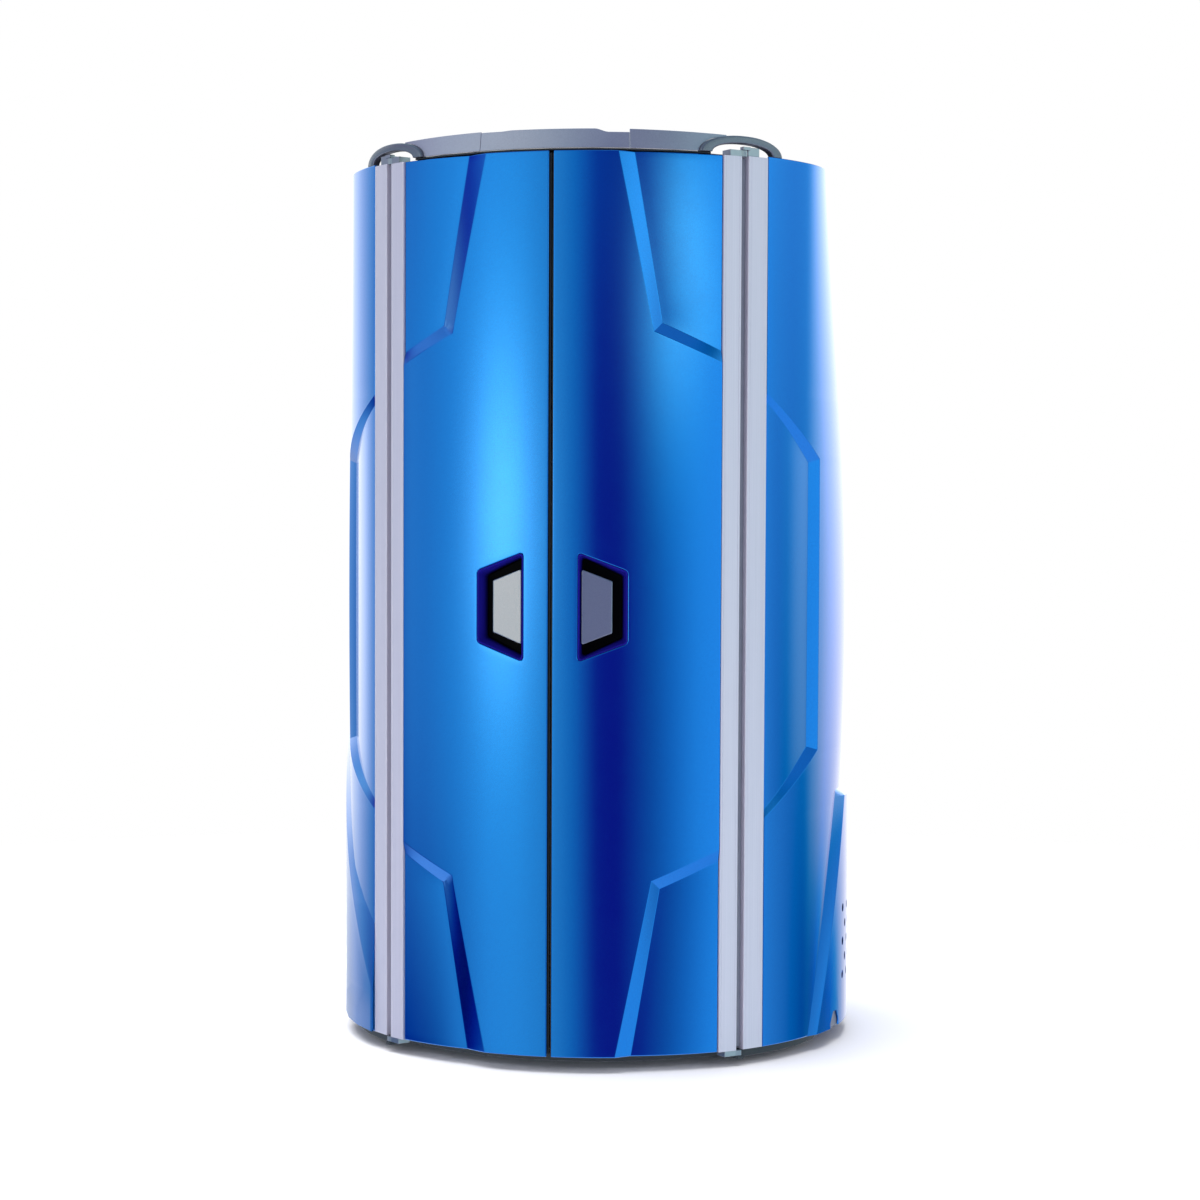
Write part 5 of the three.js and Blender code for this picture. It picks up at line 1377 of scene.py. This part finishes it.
# The room's colour by the angle round from the front, then soft patches that add light to it or
# take it away: each has its angle round and up, its width and height in degrees, and its light.
# The ceiling and the sweep set in between two angles up or down.
ROOM = (
    (-180, "#e1e1e1"), (-135, "#e1e1e1"), (-124, "#c4c8cb"), (-116, "#92b3bc"), (-108, "#7890a4"),
    (-98, "#718a9e"), (-90, "#85a0ae"), (-84, "#91b7bc"), (-74, "#91b3b9"), (-60, "#98c4c4"),
    (-40, "#b5d6cf"), (-25, "#b4d3cb"), (-8, "#9fbcb7"), (-1, "#689eaa"), (4, "#5a7296"),
    (9, "#46267a"), (20, "#461f76"), (26, "#4a4a84"), (35, "#547896"), (43, "#6a9bae"),
    (56, "#99cacf"), (68, "#aad6da"), (85, "#a1cfd3"), (97, "#91b6bc"), (108, "#6ca2b0"),
    (118, "#389eaa"), (121, "#61aab0"), (127, "#bdc8bc"), (137, "#f6decf"), (143, "#f6e3e1"),
    (180, "#e1e1e1"),
)
GLOWS = (
    (-33, 0.25, 15, 3.6, (2.4, 1.5, 0.9)),
    (43, 5.6, 15, 2.7, (1.3, 1.25, 0.7)),
    (12, 9, 14, 3, (0, 0.1, 0.08)),
    (-62, -13, 17, 5, (-0.25, -0.42, -0.3)),
    (-89, -16, 15, 8, (-0.45, -0.56, -0.36)),
    (-88, 15.5, 13, 5.5, (-0.35, -0.6, -0.34)),
    (-108, -18, 10, 4.5, (0.15, 0.24, 0.17)),
    (-107, 15, 9, 5, (0.45, 0.42, 0.22)),
    (85, 18, 25, 9, (0.5, 0.5, 0.35)),
    (138, -10.2, 16, 2.8, (-1, -0.29, -0.06)),
    (150, 9, 34, 8, (0.4, 0.4, 0.4)),
    (150, -13, 34, 7, (-0.45, -0.42, -0.36)),
    (-150, -13, 34, 7, (-0.45, -0.42, -0.36)),
)
HIGH_GLOWS = (
    (80, 34, 16, 8, (0, 0.1, 0.1)),
    (55, 25, 40, 11, (-0.3, -0.33, -0.36)),
    (-70, 25, 45, 11, (0.25, 0.2, 0.2)),
)
CEILING = ("#6f92a6", 12, 38)
SWEEP = ("#bcc6d2", -13, -30)

# Pale floor: matt white vinyl, which fades out to the background.
floor_finish = material("pale_floor", {"Base Color": "#f4f4f6", "Roughness": 0.7})
tree = floor_finish.node_tree
place = node(tree, "TexCoord").outputs["Object"]
distance = node(tree, "VectorMath", {0: place}, operation="LENGTH").outputs["Value"]
fade = {"Value": distance, "From Min": FLOOR_FADE_END, "From Max": FLOOR_FADE_START}
plug(tree, tree.nodes["Principled BSDF"], {"Alpha": node(tree, "MapRange", fade).outputs["Result"]})
work = bmesh.new()
ends = (-FLOOR_SIZE, FLOOR_SIZE)
skin(work, [[Vector((x, y, 0)) for x in ends] for y in ends], closed=False)
mesh = bpy.data.meshes.new("studio_floor")
work.to_mesh(mesh)
work.free()
mesh.materials.append(floor_finish)
studio_floor = bpy.data.objects.new("studio_floor", mesh)
studio_floor.visible_glossy = False
scene.collection.objects.link(studio_floor)
floor_only = bpy.data.collections.new("floor_only")
floor_only.objects.link(studio_floor)


def softbox(name, place, tilt, turn, width, tall, power):
    """Soft white area light that is not seen itself, only what it lights."""
    light = bpy.data.lights.new(name, "AREA")
    light.shape = "RECTANGLE"
    light.size = width
    light.size_y = tall
    light.energy = power
    made = bpy.data.objects.new(name, light)
    made.location = place
    made.rotation_euler = (math.radians(tilt), 0, math.radians(turn))
    made.visible_camera = False
    made.visible_glossy = False
    scene.collection.objects.link(made)
    return made


key_place = polar(SOFTBOX_DISTANCE, KEY_TURN, KEY_HEIGHT)
softbox("key_softbox", key_place, tilt=90, turn=KEY_TURN, width=1.5, tall=4, power=25)
fill_place = polar(SOFTBOX_DISTANCE, FILL_TURN, FILL_HEIGHT)
softbox("right_softbox", fill_place, tilt=90, turn=FILL_TURN, width=1.2, tall=4, power=15)
over_floor = Vector((-1.2, 0, 5))
overhead = softbox("floor_softbox", over_floor, tilt=0, turn=0, width=6, tall=6, power=500)
overhead.light_linking.receiver_collection = floor_only

world = bpy.data.worlds.new("white_studio")
scene.world = world
world.use_nodes = True
tree = world.node_tree
tree.nodes.clear()


def maths(operation, *values):
    """Result of a maths node on values or sockets."""
    return node(tree, "Math", dict(enumerate(values)), operation=operation).outputs[0]


def scaled(value, start, end, **settings):
    """Map of an angle to 0 at start degrees and 1 at end degrees."""
    ends = {"Value": value, "From Min": math.radians(start), "From Max": math.radians(end)}
    return node(tree, "MapRange", ends, **settings).outputs["Result"]


direction = node(tree, "TexCoord").outputs["Generated"]
split = node(tree, "SeparateXYZ", {0: direction}).outputs
azimuth = maths("ARCTAN2", split["X"], maths("MULTIPLY", split["Y"], -1.0))
elevation = maths("ARCSINE", split["Z"])


def glow(under, turn, lift, width, height, colour):
    """Adds a soft round patch of light, this many degrees wide and high, to a colour."""
    across = scaled(azimuth, turn, turn + width, clamp=False)
    upward = scaled(elevation, lift, lift + height, clamp=False)
    reach = maths("MULTIPLY_ADD", upward, upward, maths("MULTIPLY", across, across))
    share = maths("POWER", 1 / math.e, reach)
    return node(tree, "VectorMath", {0: share, 1: colour, 2: under}, operation="MULTIPLY_ADD").outputs[0]


light = blend(tree, scaled(azimuth, -180, 180), [((turn + 180) / 360, colour) for turn, colour in ROOM])
for patch in GLOWS:
    light = glow(light, *patch)
for colour, start, end in (CEILING, SWEEP):
    share = scaled(elevation, start, end, interpolation_type="SMOOTHSTEP")
    light = node(tree, "Mix", {0: share, 6: light, 7: colour}, data_type="RGBA").outputs[2]
for patch in HIGH_GLOWS:
    light = glow(light, *patch)
light = node(tree, "VectorMath", {0: light, 1: (0, 0, 0)}, operation="MAXIMUM").outputs[0]
room = node(tree, "Background", {"Color": light, "Strength": ROOM_STRENGTH}).outputs[0]
ambient = node(tree, "Background", {"Color": "#f4f4fb", "Strength": AMBIENT_STRENGTH}).outputs[0]
white = node(tree, "Background", {"Color": "#ffffff", "Strength": 1}).outputs[0]
ray = node(tree, "LightPath").outputs
lit = node(tree, "MixShader", {0: ray["Is Glossy Ray"], 1: ambient, 2: room}).outputs[0]
straight = maths("MAXIMUM", ray["Is Camera Ray"], ray["Is Transmission Ray"])
seen = node(tree, "MixShader", {0: straight, 1: lit, 2: white}).outputs[0]
node(tree, "OutputWorld", {"Surface": seen})
